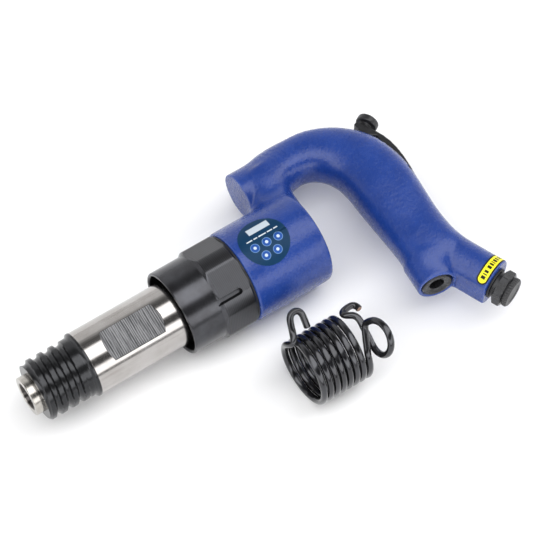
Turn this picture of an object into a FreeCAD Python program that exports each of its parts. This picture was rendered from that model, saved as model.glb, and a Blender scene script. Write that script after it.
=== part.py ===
import FreeCAD, Part

import math
import os

import Sketcher

# Air chipping hammer with an open arch handle, lying on its right side, in millimetres.
# The barrel's axis is X.  The origin is the chisel socket's mouth, which faces -X; the handle
# arches out towards +Y and comes back down beside the head; +Z is the tool's left side.
# A loose coil retainer, which screws onto the barrel's nose, lies beside the head.

SIZES = {
    # Chisel socket, a flanged bush pressed into the barrel
    "socket_flange": 4.8, "socket_flange_radius": 10.55, "socket_edge": 0.8,
    "socket_shank_radius": 9.0, "socket_end": 36.0,
    "chisel_radius": 6.4,
    # Barrel
    "nose_radius": 15.1, "nose_chamfer": 1.1, "thread_radius": 16.2, "thread_end": 31.0,
    "groove_radius": 1.86, "groove_offset": 16.36, "groove_start": 0.26, "thread_pitch": 6.35,
    "thread_length": 27.0,
    "shoulder_start": 32.2, "shoulder_end": 33.4, "shoulder_radius": 17.7,
    "barrel_radius": 17.45, "neck_start": 102.0, "seat_start": 104.0, "seat_radius": 19.5,
    "barrel_end": 138.0, "bore_radius": 9.55,
    "flat_start": 43.2, "flat_end": 76.0, "flat_height": 15.5, "flat_turn": 20.6,
    "port_station": 95.0, "port_radius": 2.5,
    # Exhaust collar
    "collar_start": 85.2, "collar_end": 122.8, "skirt_radius": 23.3, "skirt_inner": 21.4,
    "hex_start": 103.9, "hex_corner": 24.9, "hex_height": 23.4, "collar_edge": 1.0,
    "collar_turn": 26.0, "slot_floor": 20.6, "slot_half": 1.25, "slot_middle": 7.6,
    "slot_end": 117.0,
    # Ring between the collar and the head
    "ring_end": 123.8, "ring_radius": 24.0,
    # Head and neck of the handle casting
    "head_end": 168.9, "head_radius": 25.4, "head_lip": 1.3, "head_edge": 2.6,
    "stub_height": 40.0, "stub_start": 153.0, "stub_end": 176.0, "stub_radius": 13.4,
    "web_half": 12.5, "web_start": 158.0, "web_end": 173.0,
    # Arch and grip: a quarter turn round the arch's centre, then a straight lean inwards
    "arch_x": 188.0, "arch_y": 10.5, "arch_radius": 31.5,
    "arch_start_half": 13.1, "arch_middle_half": 15.3, "arch_end_half": 17.3,
    "grip_top_x": 219.5, "grip_top_y": 0.0, "grip_top_half": 17.7,
    "grip_middle_x": 218.4, "grip_middle_y": -20.0, "grip_middle_half": 16.4,
    "grip_low_x": 217.2, "grip_low_y": -42.0, "grip_low_half": 15.6,
    "grip_depth": 0.9,
    # Valve box behind the barrel
    "box_radius": 17.0, "box_middle": 146.0, "box_end": 158.0, "plenum_end": 162.0,
    "room_start": 141.0, "room_end": 151.0, "room_radius": 10.5, "flow_radius": 4.0,
    "valve_start": 141.2, "valve_end": 149.6, "valve_radius": 10.45,
    "dowel_start": 142.0, "dowel_end": 152.0, "dowel_radius": 1.5, "dowel_offset": 13.8,
    # Piston
    "piston_start": 36.3, "piston_end": 81.0, "piston_radius": 9.5, "piston_edge": 1.2,
    # Throttle line: it starts at the boss's face and points up the grip
    "throttle_x": 207.7, "throttle_y": -62.0, "throttle_turn": 76.0,
    "throttle_boss_radius": 10.6, "throttle_boss_length": 30.0, "throttle_root_radius": 14.5,
    "plug_face": -0.3, "plug_end": 12.0, "plug_radius": 8.35, "plug_edge": 0.9,
    "socket_depth": 6.0, "key_half": 4.0, "key_side": 2.309, "key_corner": 4.619,
    "spring_seat": 8.0, "spring_well_radius": 4.7,
    "washer_end": 13.2, "washer_radius": 5.4,
    "chamber_radius": 7.0, "seat_ring_start": 38.1, "seat_ring_end": 44.0,
    "seat_hole_radius": 3.4, "poppet_spigot": 30.0, "poppet_back": 33.0, "poppet_face": 38.0,
    "spigot_radius": 2.6, "poppet_radius": 6.2, "stem_radius": 1.8, "stem_end": 48.0,
    "pin_end": 94.7, "pin_passage_radius": 4.6, "guide_start": 76.0, "guide_end": 85.0,
    "guide_radius": 4.0, "guide_bore": 1.86, "throttle_exit": 95.0,
    "return_wire": 0.6, "return_radius": 3.7, "return_turns": 7.0,
    # Air passage from the throttle line to the valve box
    "passage_radius": 5.0,
    # Inlet line: it starts at the boss's face and points out of the handle
    "inlet_x": 232.85, "inlet_y": -77.05, "inlet_turn": -69.2,
    "inlet_radius": 12.5, "inlet_boss_length": 42.0, "inlet_drilling": 50.0,
    "inlet_flat_height": 10.2, "inlet_flat_length": 16.5,
    "inlet_thread_radius": 6.6, "inlet_thread_length": 12.0, "inlet_bore_radius": 5.5,
    "seal_end": 1.2, "seal_radius": 8.4, "nipple_neck_radius": 7.15, "nut_start": 3.4,
    "nut_end": 8.2, "nut_half": 8.5, "nut_corner": 9.7, "nipple_end": 8.7,
    "nipple_spigot_radius": 6.8, "nipple_bore": 4.6, "nipple_length": 11.5,
    "cap_end": 11.6, "cap_radius": 8.05, "cap_shank_radius": 4.55, "cap_shank": 8.5,
    "screen_depth": 24.0, "screen_radius": 5.45, "screen_bore": 4.6,
    # Throttle lever and its pin
    "pivot_x": 235.5, "pivot_y": 1.0, "pivot_pin_radius": 1.5, "pivot_pin_half": 6.2,
    "pivot_bore_radius": 1.56, "lever_half": 4.3, "lever_slot_half": 4.8,
    "pad_x": 237.0, "pad_y": 41.2, "pad_turn": 29.0, "pad_radius": 6.1, "pad_thickness": 4.0,
    "dish_radius": 14.0, "dish_depth": 1.1, "pad_neck_radius": 3.6, "pad_neck_length": 5.0,
    # Labels
    "label_thickness": 0.15, "head_label_radius": 13.3, "head_label_x": 140.4,
    "head_label_turn": 5.7,
    "inlet_label_start": -6.8, "inlet_label_end": -0.6, "inlet_label_low": -50.0,
    "inlet_label_sweep": 125.0,
    # Loose coil retainer, in a frame whose X axis is the coil's axis
    "wire_radius": 1.8, "coil_radius": 16.95, "coil_pitch": 3.95, "coil_turns": 7.772,
    "coil_first": 58.0, "coil_x": 122.6, "coil_y": -62.85, "coil_z": -6.65, "coil_lean": -1.0,
    "hook_rise": 27.0, "hook_turn": 48.0, "hook_bend": 3.7, "hook_fall": 20.5,
    "loop_x": 35.7, "loop_y": -12.3, "loop_z": 20.3, "loop_radius": 9.3, "loop_tilt": 21.0,
    "loop_advance": 3.2,
}

doc = FreeCAD.newDocument("ChippingHammer")
sheet = doc.addObject("Spreadsheet::Sheet", "Sizes")
for row, (alias, number) in enumerate(SIZES.items(), start=1):
    sheet.set("A%d" % row, alias)
    sheet.set("B%d" % row, str(number))
    sheet.setAlias("B%d" % row, alias)
doc.recompute()

X, Y, Z = FreeCAD.Vector(1, 0, 0), FreeCAD.Vector(0, 1, 0), FreeCAD.Vector(0, 0, 1)


def value(words):
    """The number that a sum such as "head_end - head_lip" stands for."""
    total, sign = 0.0, 1.0
    for word in str(words).split():
        if word in "+-":
            sign = 1.0 if word == "+" else -1.0
        else:
            total += sign * (SIZES[word] if word in SIZES else float(word))
    return total


def bound(words):
    """The same sum, written as an expression on the sheet."""
    return " ".join("Sizes." + w if w in SIZES else w for w in str(words).split())


def line_placement(line, roll=0.0):
    """The place of a line's own frame: its X axis runs along the line."""
    starts = {
        "tool": (0.0, 0.0, 0.0),
        "stub": (0.0, value("stub_height"), 0.0),
        "throttle": (value("throttle_x"), value("throttle_y"), value("throttle_turn")),
        "inlet": (value("inlet_x"), value("inlet_y"), value("inlet_turn")),
    }
    x, y, turn = starts[line]
    spin = FreeCAD.Rotation(Z, turn).multiply(FreeCAD.Rotation(X, roll))
    return FreeCAD.Placement(FreeCAD.Vector(x, y, 0), spin)


def origin_plane(body, role):
    return [f for f in body.Origin.OriginFeatures if f.Role == role][0]


def outline_sketch(body, name, points, plane="XY_Plane", lift=None):
    """A closed outline of straight edges whose corners are bound to the sheet."""
    sketch = body.newObject("Sketcher::SketchObject", name)
    sketch.AttachmentSupport = [(origin_plane(body, plane), "")]
    sketch.MapMode = "FlatFace"
    if lift:
        sketch.setExpression("AttachmentOffset.Base.z", bound(lift))
    corners = [FreeCAD.Vector(value(x), value(y), 0) for x, y in points]
    count = len(corners)
    for i in range(count):
        sketch.addGeometry(Part.LineSegment(corners[i], corners[(i + 1) % count]), False)
    for i in range(count):
        sketch.addConstraint(Sketcher.Constraint("Coincident", i, 2, (i + 1) % count, 1))
    for i, pair in enumerate(points):
        for kind, axis, words in (("DistanceX", -2, pair[0]), ("DistanceY", -1, pair[1])):
            if abs(value(words)) < 1e-9:
                sketch.addConstraint(Sketcher.Constraint("PointOnObject", i, 1, axis))
            else:
                rule = Sketcher.Constraint(kind, -1, 1, i, 1, value(words))
                index = sketch.addConstraint(rule)
                sketch.setExpression("Constraints[%d]" % index, bound(words))
    return sketch


def circle_sketch(body, name, x, y, radius, plane="XY_Plane"):
    """A circle whose centre and radius are bound to the sheet."""
    sketch = body.newObject("Sketcher::SketchObject", name)
    sketch.AttachmentSupport = [(origin_plane(body, plane), "")]
    sketch.MapMode = "FlatFace"
    centre = FreeCAD.Vector(value(x), value(y), 0)
    sketch.addGeometry(Part.Circle(centre, Z, value(radius)), False)
    for kind, axis, words in (("DistanceX", -2, x), ("DistanceY", -1, y)):
        if abs(value(words)) < 1e-9:
            sketch.addConstraint(Sketcher.Constraint("PointOnObject", 0, 3, axis))
        else:
            index = sketch.addConstraint(Sketcher.Constraint(kind, -1, 1, 0, 3, value(words)))
            sketch.setExpression("Constraints[%d]" % index, bound(words))
    index = sketch.addConstraint(Sketcher.Constraint("Radius", 0, value(radius)))
    sketch.setExpression("Constraints[%d]" % index, bound(radius))
    return sketch


def turned(label, points, line="tool", roll=0.0):
    """A body turned about a line, from (station, radius) corners."""
    body = doc.addObject("PartDesign::Body", label)
    sketch = outline_sketch(body, label + "_outline", points)
    spin = body.newObject("PartDesign::Revolution", label + "_turned")
    spin.Profile = sketch
    spin.ReferenceAxis = (sketch, ["H_Axis"])
    spin.Angle = 360
    body.Placement = line_placement(line, roll)
    doc.recompute()
    return body


def plate(label, points, half):
    """A flat body cut from an outline in the tool's middle plane, half each way in Z."""
    body = doc.addObject("PartDesign::Body", label)
    sketch = outline_sketch(body, label + "_outline", points)
    pad = body.newObject("PartDesign::Pad", label + "_pad")
    pad.Profile = sketch
    pad.Midplane = True
    pad.setExpression("Length", "2 * (" + bound(half) + ")")
    doc.recompute()
    return body


def pocket(body, name, sketch, depth=None, reverse=False):
    """A pocket of the given depth, or through the whole body both ways."""
    before = body.Shape.Volume
    cut = body.newObject("PartDesign::Pocket", name)
    cut.Profile = sketch
    if depth is None:
        cut.Type = "ThroughAll"
        cut.Midplane = True
    else:
        cut.setExpression("Length", bound(depth))
        cut.Reversed = reverse
    doc.recompute()
    if body.Shape.Volume > before - 1e-3:
        raise RuntimeError(name + " removes nothing")
    return cut


def repeat(body, name, feature, count, angle):
    """The same cut repeated round the body's own X axis."""
    pattern = body.newObject("PartDesign::PolarPattern", name)
    pattern.Originals = [feature]
    pattern.Axis = (origin_plane(body, "X_Axis"), [""])
    pattern.Angle = angle
    pattern.Occurrences = count
    body.Tip = pattern
    doc.recompute()
    return pattern


def rod(name, radius, start, end, line="tool"):
    """A plain cylinder on a line, between two stations."""
    piece = doc.addObject("Part::Cylinder", name)
    piece.setExpression("Radius", bound(radius))
    piece.setExpression("Height", bound(end) + " - (" + bound(start) + ")")
    place = line_placement(line)
    along = place.multVec(X * value(start))
    piece.Placement = FreeCAD.Placement(along, place.Rotation.multiply(FreeCAD.Rotation(Y, 90)))
    return piece


def upright_rod(name, radius, half, x, y):
    """A cylinder along Z, centred on the tool's middle plane."""
    piece = doc.addObject("Part::Cylinder", name)
    piece.setExpression("Radius", bound(radius))
    piece.setExpression("Height", "2 * (" + bound(half) + ")")
    piece.Placement = FreeCAD.Placement(
        FreeCAD.Vector(value(x), value(y), -value(half)), FreeCAD.Rotation())
    return piece


def fused(label, shapes):
    piece = doc.addObject("Part::MultiFuse", label)
    piece.Shapes = shapes
    return piece


def cut(label, base, tool):
    piece = doc.addObject("Part::Cut", label)
    piece.Base = base
    piece.Tool = tool
    return piece


# ---- Barrel group ---------------------------------------------------------------------------

def make_chisel_socket():
    """The bright flanged bush that holds the chisel's shank."""
    return turned("chisel_socket", [
        ("0", "chisel_radius"), ("0", "socket_flange_radius - socket_edge"),
        ("socket_edge", "socket_flange_radius"), ("socket_flange", "socket_flange_radius"),
        ("socket_flange", "socket_shank_radius"), ("socket_end", "socket_shank_radius"),
        ("socket_end", "chisel_radius")])


def make_barrel():
    """The ground barrel, with its left-hand round thread, wrench flats and exhaust ports."""
    body = turned("barrel", [
        ("socket_flange", "socket_shank_radius"), ("socket_flange", "nose_radius"),
        ("socket_flange + nose_chamfer", "thread_radius"), ("thread_end", "thread_radius"),
        ("shoulder_start", "shoulder_radius"), ("shoulder_end", "shoulder_radius"),
        ("shoulder_end", "barrel_radius"), ("neck_start", "barrel_radius"),
        ("seat_start", "seat_radius"), ("barrel_end", "seat_radius"),
        ("barrel_end", "bore_radius"), ("socket_end", "bore_radius"),
        ("socket_end", "socket_shank_radius")], roll=SIZES["flat_turn"])
    flat = outline_sketch(body, "flat_outline", [
        ("flat_start", "0 - barrel_radius"), ("flat_end", "0 - barrel_radius"),
        ("flat_end", "barrel_radius"), ("flat_start", "barrel_radius")], lift="flat_height")
    first_flat = pocket(body, "wrench_flat", flat, "barrel_radius - flat_height", reverse=True)
    repeat(body, "wrench_flats", first_flat, 2, 360)
    port = circle_sketch(body, "port_circle", "port_station", "0", "port_radius")
    ports = pocket(body, "exhaust_ports_up", port)
    repeat(body, "exhaust_ports", ports, 2, 180)
    groove = circle_sketch(body, "groove_circle", "groove_start", "groove_offset",
                           "groove_radius")
    before = body.Shape.Volume
    thread = body.newObject("PartDesign::SubtractiveHelix", "round_thread")
    thread.Profile = groove
    thread.ReferenceAxis = (groove, ["H_Axis"])
    thread.Mode = 0
    thread.setExpression("Pitch", bound("thread_pitch"))
    thread.setExpression("Height", bound("thread_length"))
    thread.LeftHanded = True
    doc.recompute()
    if body.Shape.Volume > before - 1e-3:
        raise RuntimeError("the thread removes nothing")
    return body


def make_collar():
    """The exhaust collar: a skirt round the barrel's ports and a hexagon behind it."""
    body = turned("exhaust_collar", [
        ("collar_start", "skirt_inner + 0.5"), ("collar_start", "skirt_radius - 0.6"),
        ("collar_start + 0.6", "skirt_radius"), ("hex_start", "skirt_radius"),
        ("hex_start + 1.6", "hex_corner"), ("collar_end - collar_edge", "hex_corner"),
        ("collar_end", "hex_corner - collar_edge"), ("collar_end", "seat_radius"),
        ("seat_start + 1", "seat_radius"), ("seat_start - 1", "skirt_inner"),
        ("collar_start + 0.5", "skirt_inner")], roll=SIZES["collar_turn"])
    flat = outline_sketch(body, "hex_outline", [
        ("hex_start", "0 - hex_corner"), ("collar_end", "0 - hex_corner"),
        ("collar_end", "hex_corner"), ("hex_start", "hex_corner")], lift="hex_height")
    one_flat = pocket(body, "hex_flat", flat, "hex_corner - hex_height + 1", reverse=True)
    repeat(body, "hex_flats", one_flat, 6, 360)
    slot = outline_sketch(body, "slot_outline", [
        ("hex_start", "0 - slot_middle - slot_half"),
        ("slot_end - slot_half", "0 - slot_middle - slot_half"),
        ("slot_end", "0 - slot_middle - slot_half + 0.6"),
        ("slot_end", "slot_half - slot_middle - 0.6"),
        ("slot_end - slot_half", "slot_half - slot_middle"),
        ("hex_start", "slot_half - slot_middle")], lift="slot_floor")
    pocket(body, "lock_slot", slot, "hex_corner - slot_floor + 1", reverse=True)
    return body


def make_collar_ring():
    """The thin black ring between the collar and the head."""
    return turned("collar_ring", [
        ("collar_end", "seat_radius"), ("collar_end", "ring_radius"),
        ("ring_end", "ring_radius"), ("ring_end", "seat_radius")])


def make_piston():
    return turned("piston", [
        ("piston_start", "0"), ("piston_start", "piston_radius - piston_edge"),
        ("piston_start + piston_edge", "piston_radius"),
        ("piston_end - piston_edge", "piston_radius"),
        ("piston_end", "piston_radius - piston_edge"), ("piston_end", "0")])


# ---- Valve box ------------------------------------------------------------------------------

def make_valve_box():
    """The two discs of the valve box, the valve between them and the dowel through them."""
    front = turned("valve_block_front", [
        ("barrel_end", "flow_radius"), ("barrel_end", "box_radius"),
        ("box_middle", "box_radius"), ("box_middle", "room_radius"),
        ("room_start", "room_radius"), ("room_start", "flow_radius")])
    rear = turned("valve_block_rear", [
        ("box_middle", "room_radius"), ("box_middle", "box_radius"), ("box_end", "box_radius"),
        ("box_end", "flow_radius"), ("room_end", "flow_radius"), ("room_end", "room_radius")])
    # On the YZ plane a sketch's own X and Y are the tool's Y and Z
    for block, start in ((front, "dowel_start"), (rear, "box_middle")):
        hole = circle_sketch(block, block.Label + "_dowel_circle", "0", "dowel_offset",
                             "dowel_radius", plane="YZ_Plane")
        hole.setExpression("AttachmentOffset.Base.z", bound(start))
        pocket(block, block.Label + "_dowel_hole", hole, "dowel_end - box_middle",
               reverse=True)
    valve = turned("cycling_valve", [
        ("valve_start", "flow_radius"), ("valve_start", "valve_radius - 0.5"),
        ("valve_start + 0.5", "valve_radius"), ("valve_end - 0.5", "valve_radius"),
        ("valve_end", "valve_radius - 0.5"), ("valve_end", "flow_radius")])
    dowel = rod("valve_dowel", "dowel_radius", "dowel_start", "dowel_end")
    dowel.Placement.Base = FreeCAD.Vector(value("dowel_start"), 0, value("dowel_offset"))
    return [front, rear, valve, dowel]


# ---- Throttle -------------------------------------------------------------------------------

def make_throttle():
    """The throttle's pieces, from the hexagon-socket plug up to the pin below the lever."""
    plug = turned("throttle_plug", [
        ("plug_face", "0"), ("plug_face", "plug_radius - plug_edge"),
        ("plug_face + plug_edge", "plug_radius"), ("plug_end", "plug_radius"),
        ("plug_end", "spring_well_radius"), ("spring_seat", "spring_well_radius"),
        ("spring_seat", "0")], "throttle")
    hexagon = outline_sketch(plug, "key_outline", [
        ("key_corner", "0"), ("key_side", "key_half"), ("0 - key_side", "key_half"),
        ("0 - key_corner", "0"), ("0 - key_side", "0 - key_half"),
        ("key_side", "0 - key_half")], plane="YZ_Plane", lift="plug_face")
    pocket(plug, "key_socket", hexagon, "socket_depth", reverse=True)

    washer = turned("throttle_plug_seal", [
        ("plug_end", "washer_radius"), ("plug_end", "plug_radius"),
        ("washer_end", "plug_radius"), ("washer_end", "washer_radius")], "throttle")
    seat = turned("throttle_valve_seat", [
        ("seat_ring_start", "seat_hole_radius"), ("seat_ring_start", "chamber_radius"),
        ("seat_ring_end", "chamber_radius"), ("seat_ring_end", "seat_hole_radius")], "throttle")
    valve = turned("throttle_valve", [
        ("poppet_spigot", "0"), ("poppet_spigot", "spigot_radius"),
        ("poppet_back", "spigot_radius"), ("poppet_back", "poppet_radius"),
        ("poppet_face", "poppet_radius"), ("poppet_face", "stem_radius"),
        ("stem_end", "stem_radius"), ("stem_end", "0")], "throttle")
    pin_shaft = rod("push_pin_shaft", "stem_radius", "stem_end", "pin_end", "throttle")
    dome = doc.addObject("Part::Sphere", "push_pin_dome")
    dome.setExpression("Radius", bound("stem_radius"))
    place = line_placement("throttle")
    dome.Placement = FreeCAD.Placement(place.multVec(X * value("pin_end")), place.Rotation)
    pin = fused("throttle_push_pin", [pin_shaft, dome])
    guide = turned("push_pin_guide", [
        ("guide_start", "guide_bore"), ("guide_start", "guide_radius"),
        ("guide_end", "guide_radius"), ("guide_end", "guide_bore")], "throttle")

    coil = doc.addObject("Part::Helix", "return_helix")
    coil.setExpression("Radius", bound("return_radius"))
    coil.setExpression("Height", bound("poppet_back - spring_seat - return_wire - return_wire"))
    coil.setExpression("Pitch", "(%s) / %s" % (
        bound("poppet_back - spring_seat - return_wire - return_wire"), bound("return_turns")))
    bead = doc.addObject("Part::Circle", "return_section")
    bead.setExpression("Radius", bound("return_wire"))
    bead.Placement = FreeCAD.Placement(
        FreeCAD.Vector(value("return_radius"), 0, 0), FreeCAD.Rotation(X, 90))
    spring = doc.addObject("Part::Sweep", "throttle_spring")
    spring.Sections = [bead]
    spring.Spine = (coil, ["Edge1"])
    spring.Solid = True
    spring.Frenet = True
    start = place.multVec(X * value("spring_seat + return_wire"))
    spring.Placement = FreeCAD.Placement(
        start, place.Rotation.multiply(FreeCAD.Rotation(Y, 90)))
    return [plug, washer, seat, valve, pin, guide, spring]


# ---- Inlet ----------------------------------------------------------------------------------

def make_inlet():
    """The threaded inlet nipple with its nut, seal, strainer and pull-out dust cap."""
    body = turned("inlet_nipple", [
        ("0 - nipple_length", "nipple_bore"), ("0 - nipple_length", "inlet_thread_radius"),
        ("seal_end", "inlet_thread_radius"), ("seal_end", "nipple_neck_radius"),
        ("nut_start", "nipple_neck_radius"), ("nut_start + 0.5", "nut_corner"),
        ("nut_end - 0.7", "nut_corner"), ("nut_end", "nut_half"),
        ("nut_end", "nipple_spigot_radius"), ("nipple_end", "nipple_spigot_radius"),
        ("nipple_end", "nipple_bore")], "inlet")
    flat = outline_sketch(body, "nut_outline", [
        ("nut_start", "0 - nut_corner"), ("nut_end", "0 - nut_corner"),
        ("nut_end", "nut_corner"), ("nut_start", "nut_corner")], lift="nut_half")
    one = pocket(body, "nut_flat", flat, "nut_corner - nut_half + 1", reverse=True)
    repeat(body, "nut_flats", one, 6, 360)
    seal = turned("inlet_seal", [
        ("0", "inlet_thread_radius"), ("0", "seal_radius"),
        ("seal_end", "seal_radius"), ("seal_end", "inlet_thread_radius")], "inlet")
    screen = turned("inlet_strainer", [
        ("0 - screen_depth", "0"), ("0 - screen_depth", "screen_radius"),
        ("0 - inlet_thread_length", "screen_radius"),
        ("0 - inlet_thread_length", "screen_bore"),
        ("1 - screen_depth", "screen_bore"), ("1 - screen_depth", "0")], "inlet")
    cap = turned("dust_cap", [
        ("nipple_end - cap_shank", "0"), ("nipple_end - cap_shank", "cap_shank_radius"),
        ("nipple_end", "cap_shank_radius"), ("nipple_end", "cap_radius - 0.5"),
        ("nipple_end + 0.5", "cap_radius"), ("cap_end - 0.6", "cap_radius"),
        ("cap_end", "cap_radius - 0.9"), ("cap_end", "0")], "inlet")
    return [body, seal, screen, cap]


# ---- Throttle lever -------------------------------------------------------------------------

LEVER_INNER = [("232.6", "-1.4"), ("232.3", "3.5"), ("234.3", "9"), ("234.9", "17"),
               ("234.7", "24"), ("234.7", "29.28"), ("229.2", "33.4"), ("229", "34.4")]
LEVER_OUTER = [("228.8", "42.6"), ("231.4", "43.5"), ("236.4", "32.6"), ("238.2", "27.9"),
               ("239.3", "22.8"), ("239.7", "17.5"), ("239.4", "10.5"), ("238.5", "4"),
               ("237.6", "-1.6"), ("235.2", "-2.6")]
SLOT_INNER = [("244", "-4.2"), ("232", "-4.2"), ("231.2", "3.5"), ("232.6", "8.8"),
              ("231.9", "16.7"), ("230.2", "23.3"), ("229", "29.2"), ("224.5", "31.7"),
              ("222.6", "35"), ("222.6", "52"), ("244", "52")]


def make_lever():
    """The thumb lever: a bar lying in the arch's slot, with a round dished pad on its end."""
    bar = plate("lever_bar", LEVER_INNER + LEVER_OUTER, "lever_half")
    pad = doc.addObject("Part::Cylinder", "lever_pad")
    pad.setExpression("Radius", bound("pad_radius"))
    pad.setExpression("Height", bound("pad_thickness"))
    outward = FreeCAD.Rotation(Z, value("pad_turn")).multiply(FreeCAD.Rotation(Y, 90))
    middle = FreeCAD.Vector(value("pad_x"), value("pad_y"), 0)
    normal = outward.multVec(Z)
    pad.Placement = FreeCAD.Placement(middle - normal * (value("pad_thickness") / 2), outward)
    neck = doc.addObject("Part::Cylinder", "lever_pad_neck")
    neck.setExpression("Radius", bound("pad_neck_radius"))
    neck.setExpression("Height", bound("pad_neck_length"))
    neck.Placement = FreeCAD.Placement(middle - normal * value("pad_neck_length"), outward)
    dish = doc.addObject("Part::Sphere", "lever_dish")
    dish.setExpression("Radius", bound("dish_radius"))
    reach = value("pad_thickness") / 2 - value("dish_depth") + value("dish_radius")
    dish.Placement = FreeCAD.Placement(middle + normal * reach, outward)
    bore = upright_rod("lever_bore", "pivot_bore_radius", "lever_half + 1", "pivot_x", "pivot_y")
    blank = fused("lever_blank", [bar, pad, neck])
    return cut("throttle_lever", blank, fused("lever_cuts", [dish, bore]))


# ---- Handle casting -------------------------------------------------------------------------

def section(name, x, y, heading, half, depth="grip_depth"):
    """An elliptical section of the arch, square to its heading in the middle plane."""
    ring = doc.addObject("Part::Ellipse", name)
    ring.setExpression("MajorRadius", bound(half))
    ring.setExpression("MinorRadius", "(%s) * (%s)" % (bound(half), bound(depth)))
    along = FreeCAD.Vector(math.cos(heading), math.sin(heading), 0)
    across = FreeCAD.Vector(-math.sin(heading), math.cos(heading), 0)
    frame = FreeCAD.Matrix(across.x, 0, along.x, x, across.y, 0, along.y, y, 0, 1, 0, 0)
    ring.Placement = FreeCAD.Placement(frame)
    return ring


def make_casting():
    """The blue handle casting: head, stub, arch and grip with its two bosses."""
    head = turned("head_blank", [
        ("ring_end", "0"), ("ring_end", "head_radius - head_lip"),
        ("ring_end + head_lip", "head_radius"), ("head_end - head_edge", "head_radius"),
        ("head_end", "head_radius - head_edge"), ("head_end", "0")])
    web = doc.addObject("Part::Box", "web_blank")
    web.setExpression("Length", bound("web_end - web_start"))
    web.setExpression("Width", bound("stub_height - 12"))
    web.setExpression("Height", "2 * Sizes.web_half")
    web.Placement.Base = FreeCAD.Vector(value("web_start"), 12, -value("web_half"))

    rings = []
    for i in range(5):
        x = value("stub_start") + (value("arch_x") - 4 - value("stub_start")) * i / 4
        rings.append(section("stub_%d" % i, x, value("stub_height"), 0.0, "stub_radius",
                             "0.99 - %.3f" % (0.02 * i)))
    for turn in range(80, -1, -10):
        angle = math.radians(turn)
        halves = (value("arch_start_half"), value("arch_middle_half"), value("arch_end_half"))
        part = (90 - turn) / 45
        low = min(int(part), 1)
        half = halves[low] + (halves[low + 1] - halves[low]) * (part - low)
        rings.append(section("arch_%d" % turn,
                             value("arch_x") + value("arch_radius") * math.cos(angle),
                             value("arch_y") + value("arch_radius") * math.sin(angle),
                             angle - math.pi / 2, "%.3f" % half))
    lean = math.atan2(value("grip_low_y") - value("grip_top_y"),
                      value("grip_low_x") - value("grip_top_x"))
    for name in ("grip_top", "grip_middle", "grip_low"):
        rings.append(section(name, value(name + "_x"), value(name + "_y"), lean,
                             name + "_half"))
    arch = doc.addObject("Part::Loft", "arch_blank")
    arch.Sections = rings
    arch.Solid = True
    arch.Ruled = True

    throttle_boss = turned("throttle_boss_blank", [
        ("0", "0"), ("0", "throttle_boss_radius"),
        ("throttle_boss_length", "throttle_root_radius"), ("throttle_boss_length", "0")],
        "throttle")
    inlet_boss = rod("inlet_boss_blank", "inlet_radius", "0 - inlet_boss_length", "0", "inlet")
    blank = fused("casting_blank", [head, web, arch, throttle_boss, inlet_boss])

    head_bore = turned("head_bore", [
        ("ring_end - 1", "0"), ("ring_end - 1", "seat_radius"), ("barrel_end", "seat_radius"),
        ("barrel_end", "box_radius"), ("plenum_end", "box_radius"), ("plenum_end", "0")])
    throttle_bore = turned("throttle_bore", [
        ("-1", "0"), ("-1", "plug_radius"), ("washer_end", "plug_radius"),
        ("washer_end", "chamber_radius"), ("seat_ring_end", "chamber_radius"),
        ("seat_ring_end", "pin_passage_radius"), ("guide_start", "pin_passage_radius"),
        ("guide_start", "guide_radius"), ("throttle_exit", "guide_radius"),
        ("throttle_exit", "0")], "throttle")
    inlet_bore = turned("inlet_bore", [
        ("1", "0"), ("1", "inlet_thread_radius"),
        ("0 - inlet_thread_length", "inlet_thread_radius"),
        ("0 - inlet_thread_length", "inlet_bore_radius"),
        ("0 - inlet_drilling", "inlet_bore_radius"), ("0 - inlet_drilling", "0")], "inlet")
    slot = plate("lever_slot", SLOT_INNER, "lever_slot_half")
    pin_hole = upright_rod("pivot_hole", "pivot_pin_radius", "pivot_pin_half + 4", "pivot_x",
                           "pivot_y")
    flat = doc.addObject("Part::Box", "inlet_flat")
    flat.setExpression("Length", bound("inlet_flat_length + 2"))
    flat.setExpression("Width", "4")
    flat.setExpression("Height", "2 * Sizes.inlet_radius + 4")
    place = line_placement("inlet")
    corner = FreeCAD.Vector(-value("inlet_flat_length"), -value("inlet_flat_height") - 4,
                            -value("inlet_radius") - 2)
    flat.Placement = FreeCAD.Placement(place.multVec(corner), place.Rotation)
    tools = [head_bore, throttle_bore, inlet_bore, slot, pin_hole, flat] + air_passage()
    return cut("handle_casting", blank, fused("casting_cuts", tools))


def air_passage():
    """The cored passage from above the throttle valve, round the arch, into the valve box."""
    line = line_placement("throttle")
    start = line.multVec(X * 70)
    corners = [start, FreeCAD.Vector(210, 29, 0), FreeCAD.Vector(190, 41, 0),
               FreeCAD.Vector(160, 40, 0), FreeCAD.Vector(160, 12, 0)]
    pieces = []
    for i, (a, b) in enumerate(zip(corners, corners[1:])):
        run = doc.addObject("Part::Cylinder", "passage_%d" % i)
        run.setExpression("Radius", bound("passage_radius"))
        run.Height = (b - a).Length
        run.Placement = FreeCAD.Placement(a, FreeCAD.Rotation(Z, b - a))
        pieces.append(run)
        bend = doc.addObject("Part::Sphere", "passage_bend_%d" % i)
        bend.setExpression("Radius", bound("passage_radius"))
        bend.Placement.Base = a
        pieces.append(bend)
    return pieces


# ---- Labels ---------------------------------------------------------------------------------

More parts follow.
